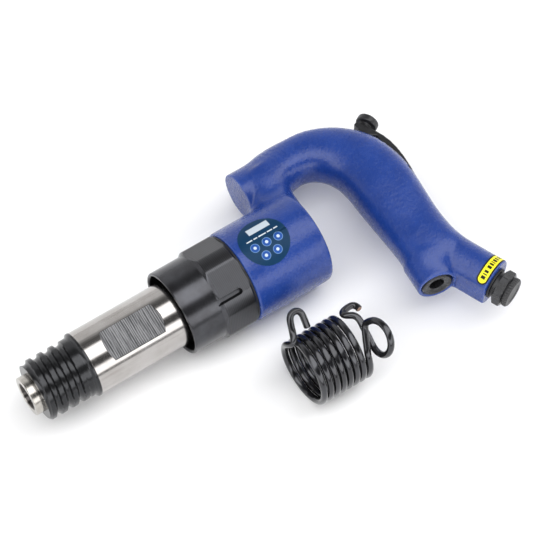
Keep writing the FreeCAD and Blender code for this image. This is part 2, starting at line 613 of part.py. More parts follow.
def make_head_label():
    """A thin round label that follows the head's curve."""
    outer = rod("label_outer", "head_radius + label_thickness", "ring_end", "head_end")
    inner = rod("label_inner", "head_radius", "ring_end", "head_end")
    skin = cut("label_skin", outer, inner)
    disc = doc.addObject("Part::Cylinder", "label_disc")
    disc.setExpression("Radius", bound("head_label_radius"))
    disc.setExpression("Height", bound("head_radius + 5"))
    disc.Placement = FreeCAD.Placement(FreeCAD.Vector(value("head_label_x"), 0, 0),
                                       FreeCAD.Rotation(X, value("head_label_turn")))
    label = doc.addObject("Part::Common", "head_label")
    label.Base = skin
    label.Tool = disc
    return label


def make_inlet_label():
    """A thin band label round part of the inlet boss."""
    bands = []
    for name, radius in (("band_outer", "inlet_radius + label_thickness"),
                         ("band_inner", "inlet_radius")):
        band = rod(name, radius, "inlet_label_start", "inlet_label_end", "inlet")
        band.setExpression("Angle", bound("inlet_label_sweep"))
        place = line_placement("inlet")
        turn = FreeCAD.Rotation(X, value("inlet_label_low")).multiply(FreeCAD.Rotation(Y, 90))
        flip = FreeCAD.Rotation(Z, 180)
        band.Placement = FreeCAD.Placement(
            place.multVec(X * value("inlet_label_start")),
            place.Rotation.multiply(turn).multiply(flip))
        bands.append(band)
    return cut("inlet_label", bands[0], bands[1])


# ---- Loose coil retainer --------------------------------------------------------------------

def rounded_path(points):
    """Straight runs through the points, joined by tangent arcs as large as the runs allow."""
    edges, last = [], points[0]
    for before, corner, after in zip(points, points[1:], points[2:]):
        back, ahead = before - corner, after - corner
        reach = 0.48 * min(back.Length, ahead.Length)
        back.normalize()
        ahead.normalize()
        turn = math.pi - back.getAngle(ahead)
        if turn < 0.02:
            continue
        radius = reach / math.tan(turn / 2)
        inward = (back + ahead).normalize()
        middle = corner + inward * (radius / math.cos(turn / 2) - radius)
        start, end = corner + back * reach, corner + ahead * reach
        if (start - last).Length > 1e-3:
            edges.append(Part.LineSegment(last, start).toShape())
        edges.append(Part.Arc(start, middle, end).toShape())
        last = end
    edges.append(Part.LineSegment(last, points[-1]).toShape())
    return Part.Wire(edges)


def bent_wire(name, points):
    """A piece of the retainer's wire bent through the points, with a ball at its first end."""
    path = rounded_path(points)
    heading = points[1] - points[0]
    ring = Part.Wire([Part.Circle(points[0], heading, value("wire_radius")).toShape()])
    piece = doc.addObject("Part::Feature", name)
    piece.Shape = path.makePipeShell([ring], True, False)
    ball = doc.addObject("Part::Sphere", name + "_ball")
    ball.setExpression("Radius", bound("wire_radius"))
    ball.Placement.Base = points[0]
    return [piece, ball]


def around(station, radius, degrees):
    """A point of the coil's frame, with its angle measured from +Y towards +Z."""
    angle = math.radians(degrees)
    return FreeCAD.Vector(station, radius * math.cos(angle), radius * math.sin(angle))


def make_retainer():
    """The left-hand retainer coil, with a hook at its front and a loop and an eye behind."""
    pitch, turns, radius = value("coil_pitch"), value("coil_turns"), value("coil_radius")
    path = doc.addObject("Part::Helix", "coil_path")
    path.setExpression("Radius", bound("coil_radius"))
    path.setExpression("Pitch", bound("coil_pitch"))
    path.setExpression("Height", "Sizes.coil_pitch * Sizes.coil_turns")
    path.LocalCoord = "Left-handed"
    bead = doc.addObject("Part::Circle", "coil_section")
    bead.setExpression("Radius", bound("wire_radius"))
    bead.Placement = FreeCAD.Placement(FreeCAD.Vector(radius, 0, 0), FreeCAD.Rotation(X, 90))
    coil = doc.addObject("Part::Sweep", "coil")
    coil.Sections = [bead]
    coil.Spine = (path, ["Edge1"])
    coil.Solid = True
    coil.Frenet = True
    turn = FreeCAD.Rotation(X, value("coil_first") + 90)
    coil.Placement = FreeCAD.Placement(FreeCAD.Vector(), turn.multiply(FreeCAD.Rotation(Y, 90)))

    first = value("coil_first")
    rise, lean, bend = value("hook_rise"), value("hook_turn"), value("hook_bend")
    hook = [around(0, radius, first), around(2.6, radius + 3, first - 4),
            around(5.0, rise, lean), around(5.4, rise + bend + 0.6, lean - 1),
            around(5.2 + bend, rise + bend + 2.2, lean - 1),
            around(5.2 + 2 * bend, rise + bend - 0.6, lean - 1),
            around(5.2 + 2 * bend, value("hook_fall"), lean - 2)]

    tilt = math.radians(value("loop_tilt"))
    up = FreeCAD.Vector(math.sin(tilt), 0, math.cos(tilt))
    aside = FreeCAD.Vector(math.cos(tilt), 0, -math.sin(tilt))
    centre = FreeCAD.Vector(value("loop_x"), value("loop_y"), value("loop_z"))
    tail = [around(pitch * turns, radius, first - 360 * turns)]
    for degrees in range(-15, 286, 30):
        angle = math.radians(degrees)
        reach = value("loop_radius") / math.cos(math.radians(15))
        tail.append(centre + Y * (reach * math.cos(angle)) + up * (reach * math.sin(angle))
                    + aside * (value("loop_advance") * (degrees + 15) / 270))
    # The leg that runs on from the loop, and the flattened eye at its end
    for spot in ((36.2, -1.0, 13.2), (37.0, 3.6, 14.8), (36.4, 7.6, 15.2), (31.6, 9.0, 15.4),
                 (31.2, 12.2, 14.0), (36.0, 13.9, 12.6), (41.2, 14.2, 12.1), (41.4, 9.3, 12.4)):
        tail.append(FreeCAD.Vector(*spot))

    spring = fused("retainer_spring", [coil] + bent_wire("hook", hook) + bent_wire("tail", tail))
    spring.Placement = FreeCAD.Placement(
        FreeCAD.Vector(value("coil_x"), value("coil_y"), value("coil_z")),
        FreeCAD.Rotation(Z, value("coil_lean")))
    return spring


parts = [make_chisel_socket(), make_barrel(), make_collar(), make_collar_ring(), make_piston()]
parts += make_valve_box() + make_throttle() + make_inlet()
parts.append(upright_rod("lever_pivot_pin", "pivot_pin_radius", "pivot_pin_half", "pivot_x",
                         "pivot_y"))
parts += [make_lever(), make_casting(), make_head_label(), make_inlet_label(),
          make_retainer()]
doc.recompute()

for thing in doc.Objects:
    if "Invalid" in thing.State or "Error" in thing.State:
        raise RuntimeError("%s failed: %s" % (thing.Label, thing.State))
os.makedirs("parts", exist_ok=True)
for part in parts:
    if part.Shape.isNull() or not part.Shape.isValid():
        raise RuntimeError(part.Label + " has no valid shape")
    print("%-22s solids %d  volume %9.1f  box %s" % (
        part.Label, len(part.Shape.Solids), part.Shape.Volume,
        [round(v, 1) for v in (part.Shape.BoundBox.XMin, part.Shape.BoundBox.YMin,
                               part.Shape.BoundBox.ZMin, part.Shape.BoundBox.XMax,
                               part.Shape.BoundBox.YMax, part.Shape.BoundBox.ZMax)]))
for part in parts:
    part.Shape.exportStep(os.path.join("parts", part.Label + ".step"))
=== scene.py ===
import math

import bmesh
import bpy
import numpy as np
from mathutils import Matrix, Vector


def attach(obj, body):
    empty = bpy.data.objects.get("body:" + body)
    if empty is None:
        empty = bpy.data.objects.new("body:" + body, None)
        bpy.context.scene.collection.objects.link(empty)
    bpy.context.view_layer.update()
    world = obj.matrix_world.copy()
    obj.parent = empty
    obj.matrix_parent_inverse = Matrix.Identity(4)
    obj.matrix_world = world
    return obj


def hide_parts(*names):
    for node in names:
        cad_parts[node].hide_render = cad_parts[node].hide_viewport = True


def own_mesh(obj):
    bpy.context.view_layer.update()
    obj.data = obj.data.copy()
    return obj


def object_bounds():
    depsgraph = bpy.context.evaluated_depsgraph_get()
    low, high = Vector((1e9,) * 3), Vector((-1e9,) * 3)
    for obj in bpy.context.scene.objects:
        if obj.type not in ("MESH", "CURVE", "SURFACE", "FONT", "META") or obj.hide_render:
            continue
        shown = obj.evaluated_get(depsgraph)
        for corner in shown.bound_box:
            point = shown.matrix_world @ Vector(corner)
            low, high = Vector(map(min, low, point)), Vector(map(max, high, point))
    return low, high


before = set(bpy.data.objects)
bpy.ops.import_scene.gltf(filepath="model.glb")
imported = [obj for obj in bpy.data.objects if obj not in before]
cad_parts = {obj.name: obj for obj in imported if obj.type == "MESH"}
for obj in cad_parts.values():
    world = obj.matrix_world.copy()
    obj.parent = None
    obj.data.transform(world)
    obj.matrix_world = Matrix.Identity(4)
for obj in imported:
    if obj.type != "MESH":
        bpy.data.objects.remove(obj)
cad_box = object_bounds()

# Sizes are the CAD's, in millimetres, and become metres in piece().
# X is the barrel's axis from the nose; angles round it run from +Y towards +Z.
MM = 0.001


# ---- Mesh helpers ----

def piece(name, points, faces, body, material, nodes, crease=32):
    """A new mesh piece from points in millimetres, turned so that its faces look outwards."""
    mesh = bpy.data.meshes.new(name)
    mesh.from_pydata((np.asarray(points, float) * MM).tolist(), [], faces)
    shape = bmesh.new()
    shape.from_mesh(mesh)
    bmesh.ops.remove_doubles(shape, verts=shape.verts, dist=2e-7)
    bmesh.ops.dissolve_degenerate(shape, edges=shape.edges, dist=1e-8)
    bmesh.ops.recalc_face_normals(shape, faces=shape.faces)
    if shape.calc_volume(signed=True) < 0:
        bmesh.ops.reverse_faces(shape, faces=shape.faces)
    shape.to_mesh(mesh)
    shape.free()
    mesh.shade_smooth()
    mesh.set_sharp_from_angle(angle=math.radians(crease))
    mesh.materials.append(material)
    obj = bpy.data.objects.new(name, mesh)
    bpy.context.scene.collection.objects.link(obj)
    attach(obj, body)
    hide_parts(*nodes)
    return obj


def line_frame(x, y, turn, roll=0.0):
    """The frame of a line in the tool's middle plane: local X runs along the line."""
    place = Matrix.Translation((x, y, 0)) @ Matrix.Rotation(math.radians(turn), 4, "Z")
    return np.array(place @ Matrix.Rotation(math.radians(roll), 4, "X"))


THROTTLE = line_frame(207.7, -62.0, 76.0)
INLET = line_frame(232.85, -77.05, -69.2)


def moved(points, place):
    points = np.asarray(points, float)
    return points @ place[:3, :3].T + place[:3, 3]


def local(points, place):
    return (points - place[:3, 3]) @ place[:3, :3]


def soften(outline, radius=0.3, steps=3):
    """Rounds each corner of a closed outline by the radius, or less where a side is short."""
    out = []
    pts = [np.array(p[:2], float) for p in outline]
    for i, corner in enumerate(pts):
        want = outline[i][2] if len(outline[i]) > 2 else radius
        back, ahead = pts[i - 1] - corner, pts[(i + 1) % len(pts)] - corner
        lb, la = np.linalg.norm(back), np.linalg.norm(ahead)
        back, ahead = back / lb, ahead / la
        cosine = float(np.clip(back @ ahead, -1, 1))
        half = math.acos(cosine) / 2
        if want <= 0 or half > math.radians(88):
            out.append(tuple(corner))
            continue
        reach = min(want / math.tan(half), 0.45 * lb, 0.45 * la)
        start, end = corner + back * reach, corner + ahead * reach
        for k in range(steps + 1):
            t = k / steps
            p = (1 - t) ** 2 * start + 2 * t * (1 - t) * corner + t * t * end
            out.append(tuple(p))
    return out


def filled(outline, step):
    """Adds points so that no side of the outline is longer than the step."""
    out = []
    for a, b in zip(outline, outline[1:] + outline[:1]):
        a, b = np.array(a), np.array(b)
        n = max(1, math.ceil(np.linalg.norm(b - a) / step))
        out += [tuple(a + (b - a) * k / n) for k in range(n)]
    return out


def lathe(outline, angles, shape=None):
    """Turns a closed (x, r) outline round X. shape(x, r, angle) may change each radius."""
    turn = np.radians(np.asarray(angles, float))[None, :]
    x = np.array([p[0] for p in outline])[:, None] + 0 * turn
    r = np.array([max(p[1], 0) for p in outline])[:, None] + 0 * turn
    if shape:
        r = shape(x, r, np.degrees(turn) + 0 * r)
    points = np.stack([x, r * np.cos(turn), r * np.sin(turn)], -1).reshape(-1, 3)
    n, m = r.shape
    faces = []
    for i in range(n):
        k = (i + 1) % n
        if outline[i][1] <= 0 and outline[k][1] <= 0:
            continue
        faces += [(i * m + j, i * m + (j + 1) % m, k * m + (j + 1) % m, k * m + j)
                  for j in range(m)]
    return points, faces


def even(count, extra=()):
    """Angles all the way round, with extra exact ones, and none nearly twice."""
    exact = {a % 360 for a in extra}
    angles = sorted({360 * i / count for i in range(count)} | exact)
    return [a for a in angles if a in exact or all(abs(a - e) > 0.25 for e in exact)]


def hex_radius(angle, half):
    """The radius of a hexagon at an angle, where half is half its width across flats."""
    swing = (angle + 30) % 60 - 30
    return half / np.cos(np.radians(swing))


def turned(name, outline, body, material, nodes, place=None, count=96, radius=0.3,
           shape=None, extra=(), step=None, crease=32):
    """A rounded outline turned round a line."""
    edge = soften(outline, radius)
    if step:
        edge = filled(edge, step)
    points, faces = lathe(edge, even(count, extra), shape)
    if place is not None:
        points = moved(points, place)
    return piece(name, points, faces, body, material, nodes, crease)


def sweep(path, radius, sides=20):
    """A round tube along a path, without twist, closed by flat ends with a small bevel."""
    path = np.asarray(path, float)
    ahead = np.gradient(path, axis=0)
    ahead /= np.linalg.norm(ahead, axis=1)[:, None]
    up = np.cross(ahead[0], (0.3, 0.5, 0.8))
    rings, turn = [], np.arange(sides) * 2 * math.pi / sides
    bevel = 0.17 * radius
    for i, (spot, heading) in enumerate(zip(path, ahead)):
        up = up - heading * (up @ heading)
        up /= np.linalg.norm(up)
        side = np.cross(heading, up)
        ring = np.outer(np.cos(turn), up) + np.outer(np.sin(turn), side)
        if i == 0:
            rings += [spot + ring * s for s in (0.0, radius - bevel)]
            rings.append(spot + heading * bevel + ring * radius)
        elif i == len(path) - 1:
            rings.append(spot - heading * bevel + ring * radius)
            rings += [spot + ring * s for s in (radius - bevel, 0.0)]
        else:
            rings.append(spot + ring * radius)
    n = len(rings)
    faces = [(i * sides + j, i * sides + (j + 1) % sides, (i + 1) * sides + (j + 1) % sides,
              (i + 1) * sides + j) for i in range(n - 1) for j in range(sides)]
    return np.concatenate(rings), faces


def smooth_path(points, step=0.8):
    """A Catmull-Rom line through the points, with points about one step apart."""
    p = np.asarray(points, float)
    p = np.concatenate([[2 * p[0] - p[1]], p, [2 * p[-1] - p[-2]]])
    out = []
    for a, b, c, d in zip(p, p[1:], p[2:], p[3:]):
        n = max(2, int(np.linalg.norm(c - b) / step))
        for t in np.arange(n) / n:
            out.append(0.5 * (2 * b + (c - a) * t + (2 * a - 5 * b + 4 * c - d) * t ** 2
                              + (3 * b - a - 3 * c + d) * t ** 3))
    out.append(p[-2])
    return np.array(out)


# ---- Implicit shapes ----

def blend_min(a, b, k):
    """The union of two shapes with a fillet of about k."""
    h = np.maximum(k - np.abs(a - b), 0) / k
    return np.minimum(a, b) - h * h * h * k / 6


def blend_max(a, b, k):
    return -blend_min(-a, -b, k)


def along_line(p, place, stations, radii, edge):
    """A round bar on a line, with a radius at each station and rounded ends."""
    q = local(p, place)
    x = q[:, 0]
    side = np.hypot(q[:, 1], q[:, 2]) - np.interp(x, stations, radii)
    ends = np.maximum(stations[0] - x, x - stations[-1])
    return blend_max(side, ends, edge)


def polygon_distance(x, y, corners):
    """The signed distance to a closed polygon, negative inside."""
    best = np.full(x.shape, 1e9)
    inside = np.zeros(x.shape, bool)
    for (ax, ay), (bx, by) in zip(corners, corners[1:] + corners[:1]):
        ex, ey, wx, wy = bx - ax, by - ay, x - ax, y - ay
        t = np.clip((wx * ex + wy * ey) / (ex * ex + ey * ey), 0, 1)
        best = np.minimum(best, np.hypot(wx - ex * t, wy - ey * t))
        crosses = (ay > y) != (by > y)
        with np.errstate(divide="ignore", invalid="ignore"):
            at = ax + (y - ay) / (by - ay) * ex if by != ay else np.full(x.shape, -1e9)
        inside ^= crosses & (x < at)
    return np.where(inside, -best, best)


def surface_net(shape, low, high, step):
    """A quad mesh of the surface where shape(points) is zero."""
    low, high = np.array(low, float), np.array(high, float)
    size = np.ceil((high - low) / step).astype(int) + 1
    axes = [low[i] + step * np.arange(size[i]) for i in range(3)]
    field = np.empty(size)
    for i, x in enumerate(axes[0]):
        y, z = np.meshgrid(axes[1], axes[2], indexing="ij")
        p = np.stack([np.full(y.size, x), y.ravel(), z.ravel()], 1)
        field[i] = shape(p).reshape(y.shape)
    cells = size - 1
    total, count = np.zeros((*cells, 3)), np.zeros(cells)
    crossings = []
    for axis in range(3):
        others = [i for i in range(3) if i != axis]
        first = [slice(None)] * 3
        second = [slice(None)] * 3
        first[axis], second[axis] = slice(0, -1), slice(1, None)
        a, b = field[tuple(first)], field[tuple(second)]
        hit = (a < 0) != (b < 0)
        with np.errstate(divide="ignore", invalid="ignore"):
            part = np.where(hit, a / (a - b), 0)
        crossings.append((hit, a < 0))
        grid = np.stack(np.meshgrid(*[np.arange(n) for n in a.shape], indexing="ij"), -1)
        spot = grid.astype(float)
        spot[..., axis] += part
        for da in (0, 1):
            for db in (0, 1):
                view = [slice(None)] * 3
                view[others[0]] = slice(da, da + cells[others[0]])
                view[others[1]] = slice(db, db + cells[others[1]])
                mask = hit[tuple(view)]
                total += spot[tuple(view)] * mask[..., None]
                count += mask
    used = count > 0
    index = np.full(cells, -1)
    index[used] = np.arange(used.sum())
    points = total[used] / count[used][:, None] * step + low
    faces = []
    for axis in range(3):
        hit, inner = crossings[axis]
        u, v = [i for i in range(3) if i != axis]
        spots = np.argwhere(hit)
        spots = spots[(spots[:, u] > 0) & (spots[:, v] > 0)
                      & (spots[:, u] < cells[u]) & (spots[:, v] < cells[v])]
        corners = []
        for du, dv in ((-1, -1), (0, -1), (0, 0), (-1, 0)):
            cell = spots.copy()
            cell[:, u] += du
            cell[:, v] += dv
            corners.append(index[tuple(cell.T)])
        quad = np.stack(corners, 1)
        turn = inner[tuple(spots.T)] ^ (axis == 1)
        quad[~turn] = quad[~turn][:, ::-1]
        faces += quad.tolist()
    for _ in range(4):
        value = shape(points)
        slope = np.stack([shape(points + d) - shape(points - d)
                          for d in np.eye(3) * 0.05], 1) / 0.1
        length = np.maximum((slope ** 2).sum(1), 0.05)
        shift = -slope * (value / length)[:, None]
        reach = np.linalg.norm(shift, axis=1)[:, None]
        points = points + shift * np.minimum(1, 0.4 * step / np.maximum(reach, 1e-9))
    return points, faces


# ---- Materials ----

def new_material(name):
    material = bpy.data.materials.new(name)
    material.use_nodes = True
    tree = material.node_tree
    tree.nodes.clear()
    shader = tree.nodes.new("ShaderNodeBsdfPrincipled")
    output = tree.nodes.new("ShaderNodeOutputMaterial")
    tree.links.new(shader.outputs[0], output.inputs[0])
    return material, tree, shader


def feed(tree, socket, given):
    """Gives an input a number, a colour or another node's socket."""
    if isinstance(given, bpy.types.NodeSocket):
        tree.links.new(given, socket)
    else:
        socket.default_value = given


def node(tree, kind, inputs=None, **settings):
    made = tree.nodes.new("ShaderNode" + kind)
    for key, setting in settings.items():
        setattr(made, key, setting)
    for key, given in (inputs or {}).items():
        feed(tree, made.inputs[key], given)
    return made


def maths(tree, operation, a, b=0.0, c=None):
    inputs = {0: a, 1: b}
    if c is not None:
        inputs[2] = c
    return node(tree, "Math", inputs, operation=operation).outputs[0]


def times(tree, a, b):
    return maths(tree, "MULTIPLY", a, b)


def minus(tree, a, b):
    return maths(tree, "SUBTRACT", a, b)


def parts(tree, vector):
    """The X, Y and Z of a vector."""
    return node(tree, "SeparateXYZ", {0: vector}).outputs


def position(tree, scale=(1, 1, 1)):
    """The object's own coordinates in metres, scaled."""
    coords = node(tree, "TexCoord").outputs["Object"]
    return node(tree, "Mapping", {"Vector": coords, "Scale": scale}).outputs[0]


def distance(tree, a, b):
    """The length of the vector (a, b)."""
    return maths(tree, "SQRT", maths(tree, "ADD", times(tree, a, a), times(tree, b, b)))


def noise(tree, vector, scale, detail=3.0, rough=0.6, distortion=0.0):
    return node(tree, "TexNoise", {"Vector": vector, "Scale": scale, "Detail": detail,
                                   "Roughness": rough, "Distortion": distortion}).outputs[0]


def ramp(tree, value, low, high, a=0.0, b=1.0):
    """A smooth step from a to b as the value goes from low to high."""
    return node(tree, "MapRange", {"Value": value, "From Min": low, "From Max": high,
                                   "To Min": a, "To Max": b},
                interpolation_type="SMOOTHSTEP").outputs[0]


def mix(tree, factor, a, b):
    made = node(tree, "Mix", {"Factor": factor}, data_type="RGBA")
    feed(tree, made.inputs[6], a)
    feed(tree, made.inputs[7], b)
    return made.outputs[2]


def bump(tree, height, strength, depth, after=None):
    inputs = {"Height": height, "Strength": strength, "Distance": depth}
    if after is not None:
        inputs["Normal"] = after
    return node(tree, "Bump", inputs).outputs[0]


def link(tree, shader, **sockets):
    """Feeds the shader's inputs, named with _ for each space."""
    for key, given in sockets.items():
        feed(tree, shader.inputs[key.replace("_", " ")], given)


def rgb(r, g, b):
    """A colour given as 0-255 screen values, in linear light."""
    parts = [v / 255 for v in (r, g, b)]
    return tuple([(v / 12.92 if v <= 0.04045 else ((v + 0.055) / 1.055) ** 2.4)
                  for v in parts] + [1.0])


def pointiness(tree):
    return node(tree, "NewGeometry").outputs["Pointiness"]


def mill_lines(tree, across, scale, distortion, detail):
    """Bands straight across X, stretched by a small factor along Y and Z."""
    return node(tree, "TexWave", {
        "Vector": position(tree, (1, across, across)), "Scale": scale, "Distortion": distortion,
        "Detail": detail, "Detail Scale": 6.0},
                wave_type="BANDS", bands_direction="X").outputs["Fac"]


def casting_paint():
    """Glossy blue paint over a sand casting, with its grain showing in the highlights."""
    material, tree, shader = new_material("casting_paint")
    place = position(tree)
    grain = noise(tree, place, 820)
    lumps = noise(tree, place, 420, 2, 0.5)
    waves = noise(tree, place, 70, 2, 0.5)
    pits = node(tree, "TexVoronoi", {"Vector": place, "Scale": 520, "Randomness": 1.0},
                feature="F1").outputs["Distance"]
    edges = pointiness(tree)
    colour = mix(tree, ramp(tree, waves, 0.35, 0.65), rgb(26, 56, 129), rgb(32, 62, 137))
    colour = mix(tree, ramp(tree, grain, 0.6, 0.78, 0.0, 0.16), colour, rgb(78, 106, 182))
    # Painted highlight: convex edges turn a lighter blue, as if they caught the light
    colour = mix(tree, ramp(tree, edges, 0.515, 0.56, 0.0, 0.3), colour, rgb(76, 102, 178))
    # Painted shade: creases and hollows turn a darker blue
    colour = mix(tree, ramp(tree, edges, 0.485, 0.44, 0.0, 0.35), colour, rgb(20, 40, 110))
    normal = bump(tree, waves, 0.25, 0.0012)
    normal = bump(tree, lumps, 0.16, 0.0005, normal)
    normal = bump(tree, grain, 0.62, 0.0003, normal)
    normal = bump(tree, ramp(tree, pits, 0.0, 0.35), 0.05, 0.0002, normal)
    link(tree, shader, Base_Color=colour, Normal=normal, Coat_Weight=0.08, Coat_Roughness=0.2,
         Specular_IOR_Level=0.42, Roughness=ramp(tree, lumps, 0.3, 0.7, 0.2, 0.3))
    return material


# In metres: where the barrel turns from black to bright, and where the collar's hexagon starts
BLACK_END, HEX_START = 0.0340, 0.1058


def ground_steel():
    """Bright ground steel, black on the nose's thread and shoulder."""
    material, tree, shader = new_material("barrel_steel")
    place = position(tree)
    along = parts(tree, place)[0]
    rings = noise(tree, position(tree, (3000, 60, 60)), 1.0)
    streaks = noise(tree, position(tree, (14, 1100, 1100)), 1.0)
    cloud = noise(tree, place, 60)
    edge = maths(tree, "ADD", along, times(tree, cloud, 0.0008))
    black = ramp(tree, edge, BLACK_END - 0.00035, BLACK_END, 1.0, 0.0)
    warm = mix(tree, ramp(tree, cloud, 0.35, 0.7), rgb(184, 181, 179), rgb(172, 168, 165))
    bright = mix(tree, ramp(tree, streaks, 0.5, 0.8, 0.0, 0.45), warm, rgb(126, 121, 117))
    grain = noise(tree, place, 700)
    dark = mix(tree, grain, rgb(46, 46, 48), rgb(60, 61, 63))
    dark = mix(tree, ramp(tree, pointiness(tree), 0.53, 0.60, 0.0, 0.35), dark,
               rgb(120, 120, 122))
    colour = mix(tree, black, bright, dark)
    normal = bump(tree, streaks, 0.04, 0.00005)
    normal = bump(tree, grain, maths(tree, "MULTIPLY_ADD", black, 0.07, 0.01), 0.0001, normal)
    gloss = ramp(tree, rings, 0.3, 0.7, 0.13, 0.19)
    rough = node(tree, "Mix", {"Factor": black, 2: gloss, 3: 0.2}).outputs[0]
    metal = node(tree, "Mix", {"Factor": black, 2: 1.0, 3: 0.8}).outputs[0]
    link(tree, shader, Base_Color=colour, Normal=normal, Roughness=rough, Metallic=metal)
    return material


def milled_steel():
    """The wrench flats: grey steel with coarse marks straight across them."""
    material, tree, shader = new_material("milled_steel")
    marks = noise(tree, position(tree, (1700, 75, 75)), 1.0, 4, 0.7, 0.2)
    lines = mill_lines(tree, 0.05, 280.0, 4.0, 4.0)
    spots = noise(tree, position(tree), 500)
    tone = maths(tree, "ADD", times(tree, marks, 0.78),
                 times(tree, lines, 0.22))
    colour = mix(tree, ramp(tree, tone, 0.34, 0.66), rgb(56, 57, 59), rgb(122, 122, 124))
    colour = mix(tree, ramp(tree, spots, 0.6, 0.8, 0.0, 0.3), colour, rgb(160, 160, 162))
    normal = bump(tree, marks, 0.45, 0.0002)
    link(tree, shader, Base_Color=colour, Normal=normal, Metallic=0.85,
         Roughness=ramp(tree, spots, 0.3, 0.7, 0.36, 0.5))
    return material


def machined(name, colour, rough=0.25, bore_shade_radius=0.0):
    """Plain turned metal, with painted shade inside the given radius in metres."""
    material, tree, shader = new_material(name)
    rings = noise(tree, position(tree, (3000, 60, 60)), 1.0)
    cloud = noise(tree, position(tree), 180)
    dull = tuple(v * 0.72 for v in colour[:3]) + (1.0,)
    tone = mix(tree, ramp(tree, cloud, 0.35, 0.75, 0.0, 0.7), colour, dull)
    # Painted shade inside the bore: the colour darkens within the given radius
    if bore_shade_radius:
        split = parts(tree, position(tree))
        far = distance(tree, split[1], split[2])
        tone = mix(tree, ramp(tree, far, bore_shade_radius - 0.0003, bore_shade_radius, 1.0, 0.0), tone,
                   rgb(70, 67, 66))
    link(tree, shader, Base_Color=tone, Metallic=1.0,
         Normal=bump(tree, rings, 0.05, 0.0001),
         Roughness=ramp(tree, rings, 0.3, 0.7, rough, rough + 0.12))
    return material


def black_oxide(name, base=(32, 32, 34), light=(50, 51, 54), rough=0.28, grain_scale=900,
                edge=0.45, depth=0.0001, metallic=0.45, coat=0.0):
    """Blackened steel: satin, a little mottled, and lighter where its edges are rubbed."""
    material, tree, shader = new_material(name)
    place = position(tree)
    grain = noise(tree, place, grain_scale, 4, 0.6)
    cloud = noise(tree, place, 120)
    worn = pointiness(tree)
    colour = mix(tree, ramp(tree, cloud, 0.3, 0.7), rgb(*base), rgb(*light))
    colour = mix(tree, ramp(tree, worn, 0.53, 0.62, 0.0, edge), colour, rgb(135, 135, 138))
    link(tree, shader, Base_Color=colour, Metallic=metallic, Coat_Weight=coat,
         Normal=bump(tree, grain, 0.12, depth),
         Roughness=ramp(tree, grain, 0.3, 0.7, rough - 0.05, rough + 0.1))
    return material


def hex_black():
    """The collar: satin black, with fine mill lines across the hexagon's flats."""
    material, tree, shader = new_material("collar_black")
    place = position(tree)
    along = parts(tree, place)[0]
    grain = noise(tree, place, 800)
    cloud = noise(tree, place, 90)
    lines = mill_lines(tree, 0.06, 330.0, 1.2, 3.0)
    worn = pointiness(tree)
    back = ramp(tree, along, HEX_START - 0.0006, HEX_START)
    colour = mix(tree, ramp(tree, cloud, 0.3, 0.7), rgb(66, 66, 69), rgb(78, 79, 83))
    lined = mix(tree, lines, rgb(66, 66, 69), rgb(78, 79, 82))
    colour = mix(tree, times(tree, back, 0.8), colour, lined)
    colour = mix(tree, ramp(tree, worn, 0.53, 0.60, 0.0, 0.5), colour, rgb(150, 150, 152))
    normal = bump(tree, grain, 0.10, 0.0001)
    normal = bump(tree, lines, times(tree, back, 0.05), 0.0001, normal)
    rough = node(tree, "Mix", {"Factor": back, 2: 0.22, 3: 0.28}).outputs[0]
    link(tree, shader, Base_Color=colour, Metallic=0.9, Normal=normal, Roughness=rough)
    return material


def rubber(name):
    material, tree, shader = new_material(name)
    grain = noise(tree, position(tree), 1500)
    cloud = noise(tree, position(tree), 200)
    link(tree, shader, Base_Color=mix(tree, cloud, rgb(24, 24, 25), rgb(34, 34, 35)),
         Roughness=ramp(tree, cloud, 0.3, 0.7, 0.45, 0.6),
         Normal=bump(tree, grain, 0.2, 0.0001))
    return material


def moulded(name):
    """Moulded black plastic with a fine grain."""
    material, tree, shader = new_material(name)
    grain = noise(tree, position(tree), 1400)
    cloud = noise(tree, position(tree), 160)
    link(tree, shader, Base_Color=mix(tree, cloud, rgb(34, 34, 36), rgb(50, 50, 53)),
         Roughness=ramp(tree, grain, 0.3, 0.7, 0.38, 0.5),
         Normal=bump(tree, grain, 0.2, 0.00012))
    return material


def printed(name):
    """A dull printed film, which has no colour yet."""
    material, tree, shader = new_material(name)
    link(tree, shader, Roughness=0.4, Specular_IOR_Level=0.14)
    return material, tree, shader


def beyond(tree, value, centre, half):
    """How far a value lies outside a span, given its middle and half size."""
    return minus(tree, maths(tree, "ABSOLUTE", minus(tree, value, centre)), half)


def off_box(tree, u, v, cx, cy, hx, hy):
    """How far (u, v) lies outside a box, given its middle and half sizes."""
    return maths(tree, "MAXIMUM", beyond(tree, u, cx, hx), beyond(tree, v, cy, hy))


